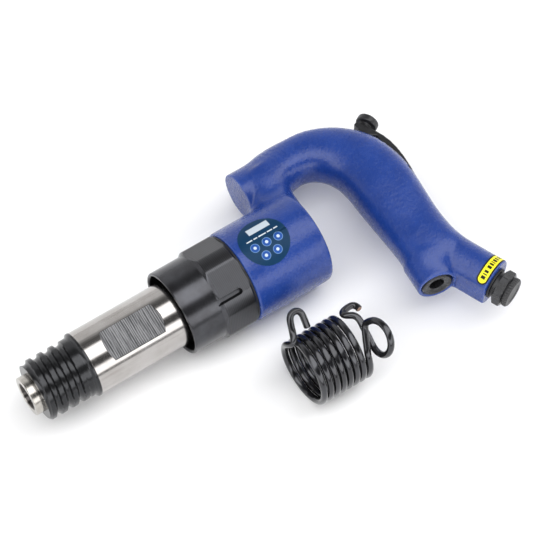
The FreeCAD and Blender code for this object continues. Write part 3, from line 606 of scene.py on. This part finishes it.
def head_label_print():
    """Teal film with a plain pale bar, a row of dashes and five plain discs."""
    material, tree, shader = printed("head_label_print")
    split = parts(tree, position(tree))
    u = minus(tree, times(tree, split[0], 1 / MM), LABEL_X)
    # The distance round the head from the label's middle, towards +Y
    turn = maths(tree, "ARCTAN2", split[1], split[2])
    v = times(tree, maths(tree, "ADD", turn, math.radians(LABEL_TURN)), FILM_RADIUS)
    soft = 0.12

    def box_mask(*box):
        return ramp(tree, off_box(tree, u, v, *box), -soft, soft, 1.0, 0.0)

    def disc_mask(cx, cy, radius):
        far = distance(tree, minus(tree, u, cx), minus(tree, v, cy))
        return ramp(tree, far, radius - soft, radius + soft, 1.0, 0.0)

    cloud = noise(tree, position(tree), 220, 2, 0.5)
    colour = mix(tree, cloud, rgb(9, 47, 77), rgb(12, 54, 86))
    colour = mix(tree, box_mask(1.3, 7.9, 6.3, 2.0), colour, rgb(188, 198, 208))
    for start, length in ((-8.6, 3.4), (-4.4, 2.2), (-1.4, 4.4), (3.8, 3.0), (7.6, 2.4)):
        colour = mix(tree, box_mask(start + length / 2, 2.9, length / 2, 0.34), colour,
                     rgb(206, 214, 220))
    for cx, cy in ((-6.5, -1.7), (0.5, -1.7), (7.3, -2.0), (-3.5, -7.7), (3.4, -7.8)):
        colour = mix(tree, disc_mask(cx, cy, 2.45), colour, rgb(112, 150, 200))
        colour = mix(tree, disc_mask(cx, cy, 2.20), colour, rgb(30, 76, 150))
        colour = mix(tree, disc_mask(cx, cy, 0.85), colour, rgb(196, 210, 228))
    link(tree, shader, Base_Color=colour)
    return material


def inlet_label_print():
    """Yellow film with a black border and plain black dashes."""
    material, tree, shader = printed("inlet_label_print")
    place = position(tree)
    coords = node(tree, "VectorMath", {0: place, 1: tuple(-INLET[:3, 3] * MM)}).outputs[0]

    def dot(axis):
        return node(tree, "VectorMath", {0: coords, 1: tuple(axis)},
                    operation="DOT_PRODUCT").outputs["Value"]

    u = times(tree, dot(INLET[:3, 0]), 1 / MM)
    turn = maths(tree, "ARCTAN2", dot(INLET[:3, 1]), parts(tree, place)[2])
    v = times(tree, turn, BOSS_RADIUS)
    low, high = (math.radians(a) * BOSS_RADIUS for a in BAND_SWEEP)
    middle, half_v = (low + high) / 2, (high - low) / 2
    half_u = (BAND_X[1] - BAND_X[0]) / 2
    middle_u = sum(BAND_X) / 2
    du = maths(tree, "ABSOLUTE", minus(tree, u, middle_u))
    dv = maths(tree, "MAXIMUM", beyond(tree, v, middle, half_v - half_u), 0.0)
    far = distance(tree, du, dv)
    inner = ramp(tree, far, half_u - 0.85, half_u - 0.7, 1.0, 0.0)
    cloud = noise(tree, place, 260, 2, 0.5)
    yellow = mix(tree, cloud, rgb(244, 232, 44), rgb(250, 240, 62))
    colour = mix(tree, inner, rgb(22, 22, 20), yellow)
    # A row of plain dashes of uneven length along the middle of the band
    for start, length in ((-10.6, 1.7), (-8.2, 0.6), (-6.9, 1.3), (-4.2, 1.6), (-1.9, 1.2),
                          (0.0, 0.6), (1.3, 1.6), (3.6, 1.2), (6.0, 1.5), (8.3, 1.7)):
        off = off_box(tree, u, v, middle_u, middle + start + length / 2, 1.15, length / 2)
        colour = mix(tree, ramp(tree, off, -0.1, 0.1, 1.0, 0.0), colour, rgb(26, 26, 22))
    link(tree, shader, Base_Color=colour)
    return material


# ---- Sizes shared by pieces and their prints ----

LABEL_X, LABEL_TURN, LABEL_RADIUS = 140.4, 5.7, 13.3
# The head's film is a little longer round the head than along it
LABEL_STRETCH = 1.05
HEAD_RADIUS, FILM_RADIUS, BOSS_RADIUS = 25.4, 25.5, 12.5
BAND_X, BAND_SWEEP = (-6.8, -0.6), (-50.0, 75.0)

PAINT = casting_paint()
STEEL = ground_steel()
MILLED = milled_steel()
# The socket's bore gets painted shade inside it
SOCKET = machined("socket_steel", rgb(186, 182, 176), 0.16, bore_shade_radius=0.0077)
COLLAR = hex_black()
BLACK = black_oxide("black_steel")
LEVER = black_oxide("lever_black", (28, 28, 30), (40, 40, 43), 0.34, 700, 0.25, metallic=0.2)
SPRING = black_oxide("spring_black", (50, 50, 53), (60, 61, 65), 0.17, 500, 0.05,
                     depth=0.00004, metallic=0.85, coat=0.6)
CUT = machined("spring_cut", rgb(150, 124, 108), 0.4)
SEAL = rubber("seal_rubber")
PLASTIC = moulded("cap_plastic")
INNER = machined("inner_steel", rgb(190, 190, 190), 0.25)
BRASS = machined("brass", rgb(196, 160, 90), 0.3)


# ---- Barrel group ----

def make_socket():
    turned("chisel_socket_bush", [(0, 7.7, 0.2), (0, 10.25, 0.1), (0.3, 10.55, 0.1),
                                  (4.8, 10.55, 0.1), (4.8, 9.0, 0), (36, 9.0), (36, 6.4),
                                  (2.4, 6.4, 0.3)],
           "tool", SOCKET, ["chisel_socket"], count=120)


FLAT_TURN, FLAT_HEIGHT, FLAT_X, FLAT_BOW = 110.6, 15.5, (43.2, 76.0), 1.7
BARREL_RADIUS = 17.45
# Where the barrel's rear sits in the casting, and where the exhaust collar ends
SEAT_RADIUS, SEAT_END, COLLAR_END = 19.5, 138.0, 122.8
# The thread: its pitch, where a groove passes (x, angle), and the groove's centre and radius
PITCH, GROOVE_SPOT, GROOVE_CENTRE, GROOVE_RADIUS = 6.35, (0.147, 27), 16.36, 1.857
RUN_OUT, THREAD_END = 26.6, 31.5


def barrel_shape(x, r, angle):
    """Adds the left-hand round thread and the wrench flats to the barrel's outline."""
    outer = r > 10
    phase = (x - GROOVE_SPOT[0] + PITCH * (angle - GROOVE_SPOT[1]) / 360) % PITCH
    off = np.minimum(phase, PITCH - phase)
    floor = GROOVE_CENTRE - np.sqrt(np.maximum(GROOVE_RADIUS ** 2 - off ** 2, 0))
    floor = np.where(off < GROOVE_RADIUS, floor, GROOVE_CENTRE + (off - GROOVE_RADIUS) * 4)
    # The groove rises out of the steel before the shoulder
    floor = floor + np.clip((x - RUN_OUT) / 2.2, 0, 3) ** 2 * 2.0
    cut = blend_min(r, floor, 1.5)
    r = np.where(outer & (x < THREAD_END), cut, r)
    for normal in (FLAT_TURN, FLAT_TURN + 180):
        swing = (angle - normal + 180) % 360 - 180
        flat = FLAT_HEIGHT / np.maximum(np.cos(np.radians(swing)), 0.2)
        on = outer & (np.abs(swing) < 80) & (x > FLAT_X[0] - 1e-6) & (x < FLAT_X[1] + 1e-6)
        r = np.where(on, np.minimum(r, flat), r)
    return r


def make_barrel():
    edge = math.degrees(math.acos(FLAT_HEIGHT / BARREL_RADIUS))
    extra = [FLAT_TURN + side * edge + k for side in (-1, 1) for k in (0, 180)]
    nose = soften([(4.8, 10.7, 0.0), (4.8, 15.1, 0.2), (5.9, 16.2, 0.5), (31.0, 16.2, 0.0)])
    nose = [p for p in filled(nose, 0.3) if p[0] < 30.99][:-1]
    nose = [p for p in nose if not (p[1] < 15.0 and p[0] > 4.81)]
    outline = nose + [(31.0, 16.2), (31.3, 16.35), (32.0, 17.4), (32.25, 17.65), (32.5, 17.7),
                      (33.25, 17.7), (33.4, 17.55), (33.5, BARREL_RADIUS)]
    outline += [(x, BARREL_RADIUS)
                for x in (38, 43.19, 43.2, 50, 60, 70, 76.0, 76.01, 86, 102)]
    outline += [(104, SEAT_RADIUS), (SEAT_END, SEAT_RADIUS), (SEAT_END, 9.55), (36, 9.55),
                (36, 9.0), (4.8, 9.0)]
    points, faces = lathe(outline, even(240, extra), barrel_shape)
    # The flats' ends bow outwards, so their corners are drawn in
    turn = math.radians(FLAT_TURN)
    across = points[:, 1:] @ (-math.sin(turn), math.cos(turn))
    half = math.sqrt(BARREL_RADIUS ** 2 - FLAT_HEIGHT ** 2)
    pull = FLAT_BOW * np.minimum((across / half) ** 2, 1)
    start, end = (np.abs(points[:, 0] - x) < 0.02 for x in FLAT_X)
    points[:, 0] += np.where(start, pull, 0) - np.where(end, pull, 0)
    obj = piece("barrel_body", points, faces, "tool", STEEL, ["barrel"], 30)
    obj.data.materials.append(MILLED)
    normal = Vector((0, math.cos(turn), math.sin(turn)))
    for face in obj.data.polygons:
        inside = FLAT_X[0] - 0.01 < face.center.x / MM < FLAT_X[1] + 0.01
        if inside and abs(face.normal @ normal) > 0.9995:
            if abs(abs(face.center @ normal) / MM - FLAT_HEIGHT) < 0.02:
                face.material_index = 1


COLLAR_TURN, HEX_HEIGHT, HEX_CORNER = 116.0, 23.4, 24.9
# The lock slot: how far aside it lies, its rounded end, half width, floor, and angle from above
SLOT_ASIDE, SLOT_END, SLOT_HALF, SLOT_FLOOR, SLOT_TURN = 7.6, 115.75, 1.5, 20.6, 18.9


def collar_shape(x, r, angle):
    """Cuts the hexagon's flats and the lock slot from the collar's outline."""
    outer = r > 22.4
    flat = hex_radius(angle - COLLAR_TURN, HEX_HEIGHT)
    r = np.where(outer & (x > 103.5), np.minimum(r, flat), r)
    whole = (angle - COLLAR_TURN + 180) % 360 - 180
    across = r * np.sin(np.radians(whole)) - SLOT_ASIDE
    ends = np.maximum(x - SLOT_END, 0)
    far = np.hypot(across, ends) - SLOT_HALF
    floor = SLOT_FLOOR / np.maximum(np.cos(np.radians(whole)), 0.3)
    deep = np.clip(0.5 - far / 0.24, 0, 1)
    slot = outer & (x > 103.2) & (np.abs(whole) < 60) & (deep > 0)
    return np.where(slot, r + (np.minimum(floor, r) - r) * deep, r)


def make_collar():
    edge = math.degrees(math.acos(HEX_HEIGHT / HEX_CORNER))
    extra = [COLLAR_TURN + 60 * k + side * edge for k in range(6) for side in (-1, 1)]
    middle = COLLAR_TURN + SLOT_TURN
    extra += [middle + 0.35 * k for k in range(-13, 14)]
    outline = soften([(85.2, 22.0, 0.3), (85.2, 22.9, 0.35), (85.8, 23.3, 0.35),
                      (103.6, 23.3, 0.0), (105.4, HEX_CORNER, 0.25), (121.9, HEX_CORNER, 0.3),
                      (COLLAR_END, 24.0, 0.2), (COLLAR_END, SEAT_RADIUS, 0),
                      (105, SEAT_RADIUS, 0), (103, 21.4, 0.5), (85.9, 21.4, 0.5)])
    rows = []
    for a, b in zip(outline, outline[1:] + outline[:1]):
        rows.append(a)
        if a[1] > 22.5 and b[1] > 22.5 and b[0] > 103.2:
            # Finer where the chamfer runs into the hexagon's flats
            n = max(1, int(abs(b[0] - a[0]) / (0.12 if b[0] < 106 else 0.3)))
            rows += [(a[0] + (b[0] - a[0]) * k / n, a[1] + (b[1] - a[1]) * k / n)
                     for k in range(1, n)]
    points, faces = lathe(rows, even(180, extra), collar_shape)
    piece("exhaust_collar_body", points, faces, "tool", COLLAR,
          ["exhaust_collar"], 26)


def make_ring():
    turned("collar_ring_body", [(COLLAR_END, SEAT_RADIUS), (COLLAR_END, 24.0),
                                (HEAD_START, 24.0), (HEAD_START, SEAT_RADIUS)],
           "tool", SEAL, ["collar_ring"], radius=0.25, count=120)


# ---- Handle ----

# Centre line and half width of the arch and the grip: x, y, half width, depth ratio
ARCH = [(169.0, 38.6, 12.6, 1.14), (173.0, 40.4, 12.9, 1.10), (179.0, 41.8, 12.8, 1.02),
        (188.0, 42.4, 12.35, 0.97), (199.9, 40.2, 13.5, 0.94), (210.3, 33.0, 15.1, 0.92),
        (217.1, 22.5, 16.7, 0.90), (219.5, 10.5, 17.5, 0.90),
        (219.4, 0.0, 17.6, 0.90), (218.6, -12.0, 16.9, 0.90), (217.8, -24.0, 16.1, 0.90),
        (217.3, -36.0, 15.7, 0.90), (216.8, -46.0, 15.2, 0.90)]
LEVER_SLOT = [(246, -4.2), (232, -4.2), (231.2, 3.5), (232.6, 8.8), (231.9, 16.7),
              (230.2, 23.3), (229, 29.2), (224.5, 31.7), (222.6, 35), (222.6, 54), (246, 54)]
HEAD_START, HEAD_END, STUB_Y, STUB_RADIUS = 123.8, 168.9, 40.0, 13.3
PIVOT = (235.5, 1.0)
# The power of the arch's section: 2 is an ellipse, and more is squarer
SQUARE = 2.45


def arch_field(p):
    """The arch and grip, as slightly squared sections swept along their line."""
    line = smooth_path(ARCH, 2.5)
    best = np.full(len(p), 1e9)
    for (ax, ay, ar, az), (bx, by, br, bz) in zip(line, line[1:]):
        ex, ey = bx - ax, by - ay
        t = np.clip(((p[:, 0] - ax) * ex + (p[:, 1] - ay) * ey) / (ex * ex + ey * ey), 0, 1)
        flat = np.hypot(p[:, 0] - ax - ex * t, p[:, 1] - ay - ey * t)
        depth = p[:, 2] / (az + (bz - az) * t)
        far = (flat ** SQUARE + np.abs(depth) ** SQUARE) ** (1 / SQUARE)
        best = np.minimum(best, far - (ar + (br - ar) * t))
    return best


def casting_field(p):
    """The whole casting: solids joined with cast fillets, less its bores and slot."""
    x, y, z = p[:, 0], p[:, 1], p[:, 2]
    r = np.hypot(y, z)
    head = blend_max(r - HEAD_RADIUS, x - HEAD_END, 4.5)
    head = blend_max(head, HEAD_START - x, 1.8)
    # The neck: a thick column up to the arch, wider and further forward at its foot
    flare = np.clip(37.0 - y, 0, 12)
    middle = 166.0 + 0.06 * (y - 30) - 0.1 * flare
    reach = 10.2 + 0.2 * flare
    column = (np.hypot((x - middle) / reach, z / 14.2) - 1) * reach
    column = blend_max(column, np.maximum(10.0 - y, y - 42.0), 3.0)
    shape = blend_min(arch_field(p), column, 7.0)
    stub = blend_max(np.hypot(y - STUB_Y, z / 0.99) - STUB_RADIUS,
                     np.maximum(153.0 - x, x - 172.0), 0.9)
    shape = blend_min(shape, stub, 3.2)
    shape = blend_min(head, shape, 8.0)
    throttle = along_line(p, THROTTLE, (0.0, 15.0, 36.0), (10.5, 12.2, 7.0), 1.2)
    inlet = along_line(p, INLET, (-44.0, 0.0), (12.5, 12.5), 1.2)
    shape = blend_min(shape, throttle, 5.0)
    # The fillet at the inlet boss fades to a crease beside the plug
    up = np.clip((local(p, THROTTLE)[:, 0] - 7.0) / 15.0, 0, 1)
    shape = blend_min(shape, inlet, 1.6 + 5.4 * up * up * (3 - 2 * up))
    # The flat along the inlet boss, facing away from the grip
    q = local(p, INLET)
    shape = blend_max(shape, -np.maximum(-16.5 - q[:, 0], q[:, 1] + 10.2), 0.5)
    shape = np.maximum(shape, np.where(x < 160, HEAD_START - x, -1e3))
    # Bores: the barrel's seat and valve box, the throttle's line and the inlet
    seat = np.maximum(r - SEAT_RADIUS, x - SEAT_END)
    seat = np.minimum(seat, np.maximum(r - 17.0, x - 162.0))
    shape = np.maximum(shape, -seat)
    for place, stations, radii in ((THROTTLE, (-9.0, 13.2), (8.35, 8.35)),
                                   (THROTTLE, (0.0, 40.0), (7.0, 7.0)),
                                   (THROTTLE, (-1.0, 0.9), (9.9, 8.35)),
                                   (INLET, (-12.0, 9.0), (6.6, 6.6))):
        shape = np.maximum(shape, -along_line(p, place, stations, radii, 0.01))
    slot = np.maximum(polygon_distance(x, y, LEVER_SLOT), np.abs(z) - 4.8)
    shape = blend_max(shape, -slot, 0.9)
    pin = np.hypot(x - PIVOT[0], y - PIVOT[1]) - 1.5
    return np.maximum(shape, -pin)


def make_casting():
    points, faces = surface_net(casting_field, (122.6, -84.5, -26.6), (246.5, 57.5, 26.6), 0.7)
    piece("casting_body", points, faces, "tool", PAINT, ["handle_casting"],
          40)


def patch(name, radius, thickness, spots, place, material, nodes):
    """A thin film on a cylinder, from rows of (x, angle from +Z) spots."""
    rows, cols = spots.shape[:2]
    layers = []
    for r in (radius + 0.005, radius + thickness):
        turn = np.radians(spots[..., 1])
        layers.append(np.stack([spots[..., 0], -r * np.sin(turn), r * np.cos(turn)], -1))
    points = np.concatenate([layer.reshape(-1, 3) for layer in layers])
    if place is not None:
        points = moved(points, place)
    n = rows * cols
    faces = []
    for i in range(rows - 1):
        for j in range(cols - 1):
            quad = [i * cols + j, i * cols + j + 1, (i + 1) * cols + j + 1, (i + 1) * cols + j]
            faces += [quad, [k + n for k in quad[::-1]]]
    rim = (list(range(cols)) + [i * cols + cols - 1 for i in range(1, rows)]
           + [(rows - 1) * cols + j for j in range(cols - 2, -1, -1)]
           + [i * cols for i in range(rows - 2, 0, -1)])
    faces += [[a, b, b + n, a + n] for a, b in zip(rim, rim[1:] + rim[:1])]
    piece(name, points, faces, "tool", material, nodes)


def make_labels():
    rings, sides = 10, 72
    spots = np.zeros((rings, sides + 1, 2))
    for i in range(rings):
        reach = LABEL_RADIUS * i / (rings - 1)
        for j in range(sides + 1):
            a = 2 * math.pi * j / sides
            spots[i, j] = (LABEL_X + reach * math.cos(a),
                           LABEL_TURN + math.degrees(
                               LABEL_STRETCH * reach * math.sin(a) / FILM_RADIUS))
    patch("head_label_film", HEAD_RADIUS, 0.12, spots, None, head_label_print(),
          ["head_label"])
    cols = 64
    band = np.zeros((5, cols, 2))
    low, high = BAND_SWEEP
    half = (BAND_X[1] - BAND_X[0]) / 2
    middle, reach = (low + high) / 2, (high - low) / 2
    for j in range(cols):
        turn = middle - reach * math.cos(math.pi * j / (cols - 1))
        gap = (reach - abs(turn - middle)) * math.radians(1) * BOSS_RADIUS
        wide = math.sqrt(max(half ** 2 - max(half - gap, 0) ** 2, 0.0004))
        for i in range(5):
            band[i, j] = (sum(BAND_X) / 2 + wide * (i / 2 - 1), -turn)
    patch("inlet_label_film", BOSS_RADIUS, 0.1, band, INLET,
          inlet_label_print(), ["inlet_label"])


# ---- Lever ----

LEVER_BAR = [(232.6, -1.4), (232.3, 3.5), (234.3, 9), (234.9, 17), (234.7, 24), (234.7, 29.28),
             (229.2, 33.4), (229.0, 34.4), (228.8, 42.6), (231.4, 43.5), (234.2, 38.0),
             (236.4, 32.9), (238.2, 27.9), (239.3, 22.8), (239.7, 17.5), (239.4, 10.5),
             (238.5, 4), (237.6, -1.6), (235.2, -2.6)]


def lever_field(p):
    bar = polygon_distance(p[:, 0], p[:, 1], LEVER_BAR) + 0.25
    bar = blend_max(bar, np.abs(p[:, 2]) - 4.3, 1.0)
    q = local(p, line_frame(237.0, 41.2, 29.0))
    from_axis = np.hypot(q[:, 1], q[:, 2])
    pad = blend_max(from_axis - 6.1, np.abs(q[:, 0]) - 2.0, 1.3)
    dish = 14.0 - np.hypot(q[:, 0] - 14.9, from_axis)
    pad = blend_max(pad, dish, 0.5)
    neck = np.maximum(from_axis - 3.6, np.maximum(-5.0 - q[:, 0], q[:, 0]))
    shape = blend_min(bar, blend_min(pad, neck, 0.8), 0.8)
    pin = np.hypot(p[:, 0] - PIVOT[0], p[:, 1] - PIVOT[1]) - 1.56
    return np.maximum(shape, -pin)


def make_lever():
    points, faces = surface_net(lever_field, (227.2, -4.0, -8.4), (242.4, 48.2, 8.4), 0.4)
    piece("lever_body", points, faces, "lever", LEVER, ["throttle_lever"], 40)
    pin = [(-6.2, 0, 0), (-6.2, 1.5, 0.2), (6.2, 1.5, 0.2), (6.2, 0, 0)]
    upright = np.array(Matrix.Translation((*PIVOT, 0)) @ Matrix.Rotation(
        math.radians(-90), 4, "Y"))
    turned("lever_pin_body", pin, "tool", BLACK, ["lever_pivot_pin"],
           place=upright, count=32)


# ---- Throttle plug and inlet ----

def make_plug():
    """The round plug with a wide dished bevel and a hexagon socket."""
    def shape(_, r, angle):
        return np.where(r < 4.05, r / 4.0 * hex_radius(angle, 4.0), r)

    outline = [(-0.3, 7.7, 0.2), (0.25, 8.3, 0.2), (11.9, 8.3, 0), (11.9, 0, 0), (5.7, 0, 0),
               (5.7, 4.0, 0), (0.75, 4.0, 0.15), (-0.15, 6.3, 0.3)]
    turned("throttle_plug_body", outline, "tool", BLACK, ["throttle_plug"],
           place=THROTTLE, count=96, shape=shape, extra=[60 * k for k in range(6)], radius=0.2,
           crease=25)


def make_return_spring():
    """The throttle's return spring: a coil of wire from its seat to the poppet, at one fixed
    length.
    """
    seat, poppet, wire, radius, turns, travel = 8.0, 32.95, 0.6, 3.7, 7.0, 2.11
    angle = np.linspace(0, 2 * math.pi * turns, int(turns * 36))
    along = np.linspace(seat + wire, poppet - wire, len(angle))
    line = np.stack([along, radius * np.cos(angle), radius * np.sin(angle)], 1)
    points, faces = sweep(moved(line, THROTTLE), wire, 12)
    obj = piece("return_spring_wire", points, faces, "tool", INNER,
                ["throttle_spring"], 40)
    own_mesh(obj)


NUT_HALF, NUT_CORNER = 8.5, 9.7


def nut_shape(x, r, angle):
    on = (r > 8.0) & (x > 3.3) & (x < 8.3)
    return np.where(on, np.minimum(r, hex_radius(angle, NUT_HALF)), r)


def make_inlet():
    edge = math.degrees(math.acos(NUT_HALF / NUT_CORNER))
    extra = [60 * k + s * edge for k in range(6) for s in (-1, 1)]
    turned("inlet_nipple_body", [(-11.5, 4.6, 0), (-11.5, 6.55, 0), (1.2, 6.55, 0),
                                 (1.2, 7.15, 0.2), (3.4, 7.15, 0), (3.4, 8.6, 0.1),
                                 (4.0, NUT_CORNER, 0.15), (7.5, NUT_CORNER, 0.15),
                                 (8.2, NUT_HALF, 0.1), (8.2, 6.8, 0), (8.7, 6.8, 0.1),
                                 (8.7, 4.6, 0.1)],
           "tool", BLACK, ["inlet_nipple"], place=INLET, count=120,
           shape=nut_shape, extra=extra, step=0.6, crease=24)
    turned("inlet_seal_body", [(0, 6.6), (0, 8.4), (1.2, 8.4), (1.2, 6.6)], "tool",
           SEAL, ["inlet_seal"], place=INLET)

    def knurl(x, r, angle):
        rim = (r > 7.4) & (x > 8.9) & (x < 11.3)
        ridges = np.abs(np.sin(np.radians(angle * 15)))
        return np.where(rim, r - 0.42 * (1 - ridges), r)

    turned("dust_cap_body", [(0.2, 0, 0), (0.2, 4.5, 0.3), (8.7, 4.5, 0), (8.7, 7.6, 0.15),
                             (9.1, 8.05, 0.2), (10.9, 8.05, 0.2), (11.6, 7.3, 0.3),
                             (11.6, 5.6, 0.2), (11.2, 5.0, 0.2), (11.2, 0, 0)],
           "cap", PLASTIC, ["dust_cap"], place=INLET, count=240, shape=knurl,
           step=0.6, crease=28)


# ---- Loose coil retainer ----

COIL_TURNS, COIL_PITCH, COIL_RADIUS, COIL_FIRST = 7.772, 3.95, 16.95, 58.0
WIRE_RADIUS, LOOP_RADIUS = 1.8, 9.3


def around(station, radius, degrees):
    a = math.radians(degrees)
    return (station, radius * math.cos(a), radius * math.sin(a))


def make_retainer():
    """One wire: the front hook, the coil, the rear loop and the leg with its bent end."""
    rise, lean, bend = 27.0, 48.0, 3.7
    hook = [around(5.2 + 2 * bend, 20.5, lean - 2),
            around(5.2 + 2 * bend, rise + bend - 2.6, lean - 1),
            around(5.2 + 1.7 * bend, rise + bend, lean - 1),
            around(5.2 + bend, rise + bend + 1.0, lean - 1),
            around(5.4 + 0.25 * bend, rise + bend - 0.4, lean - 1),
            around(5.0, rise, lean), around(3.9, rise - 4.5, lean + 2),
            around(2.6, 20.2, COIL_FIRST - 3), around(1.5, 17.6, COIL_FIRST + 0.5)]
    coil = [around(COIL_PITCH * t, COIL_RADIUS, COIL_FIRST - 360 * t)
            for t in np.arange(0.03, COIL_TURNS, 1 / 72)]
    tilt = math.radians(21)
    up = np.array((math.sin(tilt), 0, math.cos(tilt)))
    aside = np.array((math.cos(tilt), 0, -math.sin(tilt)))
    centre = np.array((35.7, -12.3, 20.3))
    loop = []
    for degrees in range(-5, 276, 20):
        a = math.radians(degrees)
        round_it = np.array((0, 1, 0)) * math.cos(a) + up * math.sin(a)
        loop.append(centre + LOOP_RADIUS * round_it + aside * (3.2 * (degrees + 15) / 270))
    tail = [(36.4, -4.0, 12.4), (36.8, 0.2, 13.5), (37.1, 3.6, 14.7), (36.3, 6.6, 15.3),
            (33.8, 8.2, 15.4), (31.9, 9.6, 15.0), (31.6, 11.4, 14.2), (33.4, 12.8, 13.2),
            (36.4, 13.6, 12.6), (39.2, 13.9, 12.2), (41.0, 12.8, 12.1), (41.4, 9.8, 12.4)]
    path = np.concatenate([smooth_path(hook, 0.6), coil, smooth_path(
        [coil[-1]] + [tuple(q) for q in loop] + tail, 0.7)[1:]])
    # Even out the line where its pieces meet
    for _ in range(6):
        path[1:-1] = path[1:-1] * 0.5 + (path[:-2] + path[2:]) * 0.25
    points, faces = sweep(path, WIRE_RADIUS, 22)
    place = np.array(Matrix.Translation((122.6, -62.85, -6.65)) @ Matrix.Rotation(
        math.radians(-1.0), 4, "Z"))
    obj = piece("retainer_wire", moved(points, place), faces, "retainer",
                SPRING, ["retainer_spring"], 40)
    obj.data.materials.append(CUT)
    ends = [Vector(moved([path[k]], place)[0] * MM) for k in (0, -1)]
    for face in obj.data.polygons:
        if any((face.center - end).length < 0.0012 for end in ends):
            face.material_index = 1


# ---- Carried-over CAD nodes ----

def dress(names, material):
    for name in names:
        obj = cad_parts[name]
        obj.data.materials.clear()
        obj.data.materials.append(material)


# ---- Stage, light and camera ----

def make_stage():
    low = min(corner[2] for corner in cad_box)
    mesh = bpy.data.meshes.new("floor")
    mesh.from_pydata([(3 * x, 3 * y, low) for x, y in ((-1, -1), (1, -1), (1, 1), (-1, 1))],
                     [], [(0, 1, 2, 3)])
    floor = bpy.data.objects.new("floor", mesh)
    bpy.context.scene.collection.objects.link(floor)
    material, tree, shader = new_material("floor_paper")
    cloud = noise(tree, position(tree), 3, 2, 0.5)
    link(tree, shader, Base_Color=mix(tree, cloud, rgb(246, 246, 247), rgb(250, 250, 250)),
         Roughness=0.9)
    mesh.materials.append(material)


# The studio round the tool, by the angle from the horizon on the arch's side, over the top:
# (degrees, brightness). Two long soft boxes hang along the barrel, with dark gaps beside them.
STUDIO = [(-90, 0.9), (-2, 0.9), (4, 0.95), (36, 0.9), (50, 0.26), (60, 0.12), (74, 0.12),
          (80, 2.9), (114, 2.9), (119, 0.08), (143, 0.08), (149, 2.7), (169, 2.7), (173, 0.30),
          (181, 0.30), (188, 0.9), (270, 0.9)]
# A ramp's colours end at 1, so the background is this much stronger
STRENGTH = 4.0


def make_light():
    """The studio as a world of soft boxes, with no lamps."""
    scene = bpy.context.scene
    scene.view_settings.view_transform = "Standard"
    world = bpy.data.worlds.new("studio")
    world.use_nodes = True
    scene.world = world
    tree = world.node_tree
    way = parts(tree, node(tree, "TexCoord").outputs["Generated"])
    # Turned so that the ramp starts straight down
    turn = maths(tree, "ARCTAN2", way[1], times(tree, way[2], -1.0))
    part = maths(tree, "FRACT", times(tree, turn, 1 / (2 * math.pi)))
    bands = tree.nodes.new("ShaderNodeValToRGB")
    stops = bands.color_ramp.elements
    for k, (degrees, value) in enumerate(STUDIO):
        spot = (degrees + 90) / 360
        stop = stops[k] if k < 2 else stops.new(spot)
        stop.position = spot
        stop.color = [value / STRENGTH] * 3 + [1]
    tree.links.new(part, bands.inputs[0])
    back = tree.nodes["Background"]
    tree.links.new(bands.outputs[0], back.inputs[0])
    back.inputs[1].default_value = STRENGTH


def make_camera():
    """The photograph's view: looking down from the nose's side, from about a metre away."""
    swing, lift, far = math.radians(-34.0), math.radians(58.5), 0.985
    back = Vector((math.sin(swing) * math.cos(lift), -math.cos(swing) * math.cos(lift),
                   math.sin(lift)))
    right = Vector((math.cos(swing), math.sin(swing), 0))
    up = back.cross(right)
    data = bpy.data.cameras.new("camera")
    data.sensor_width = 36.0
    data.lens = 134.0
    camera = bpy.data.objects.new("camera", data)
    bpy.context.scene.collection.objects.link(camera)
    # The view's middle lies this far to the right of and above the chisel socket's mouth
    spot = back * far + right * 0.1191 + up * 0.0648
    camera.matrix_world = Matrix((
        (right.x, up.x, back.x, spot.x), (right.y, up.y, back.y, spot.y),
        (right.z, up.z, back.z, spot.z), (0, 0, 0, 1)))
    bpy.context.scene.camera = camera


make_socket()
make_barrel()
make_collar()
make_ring()
make_casting()
make_labels()
make_lever()
make_plug()
make_return_spring()
make_inlet()
make_retainer()
dress(["piston", "valve_block_front", "valve_block_rear", "cycling_valve", "valve_dowel",
       "throttle_valve_seat", "throttle_valve", "throttle_push_pin"], INNER)
dress(["push_pin_guide", "inlet_strainer"], BRASS)
dress(["throttle_plug_seal"], SEAL)
make_stage()
make_light()
make_camera()
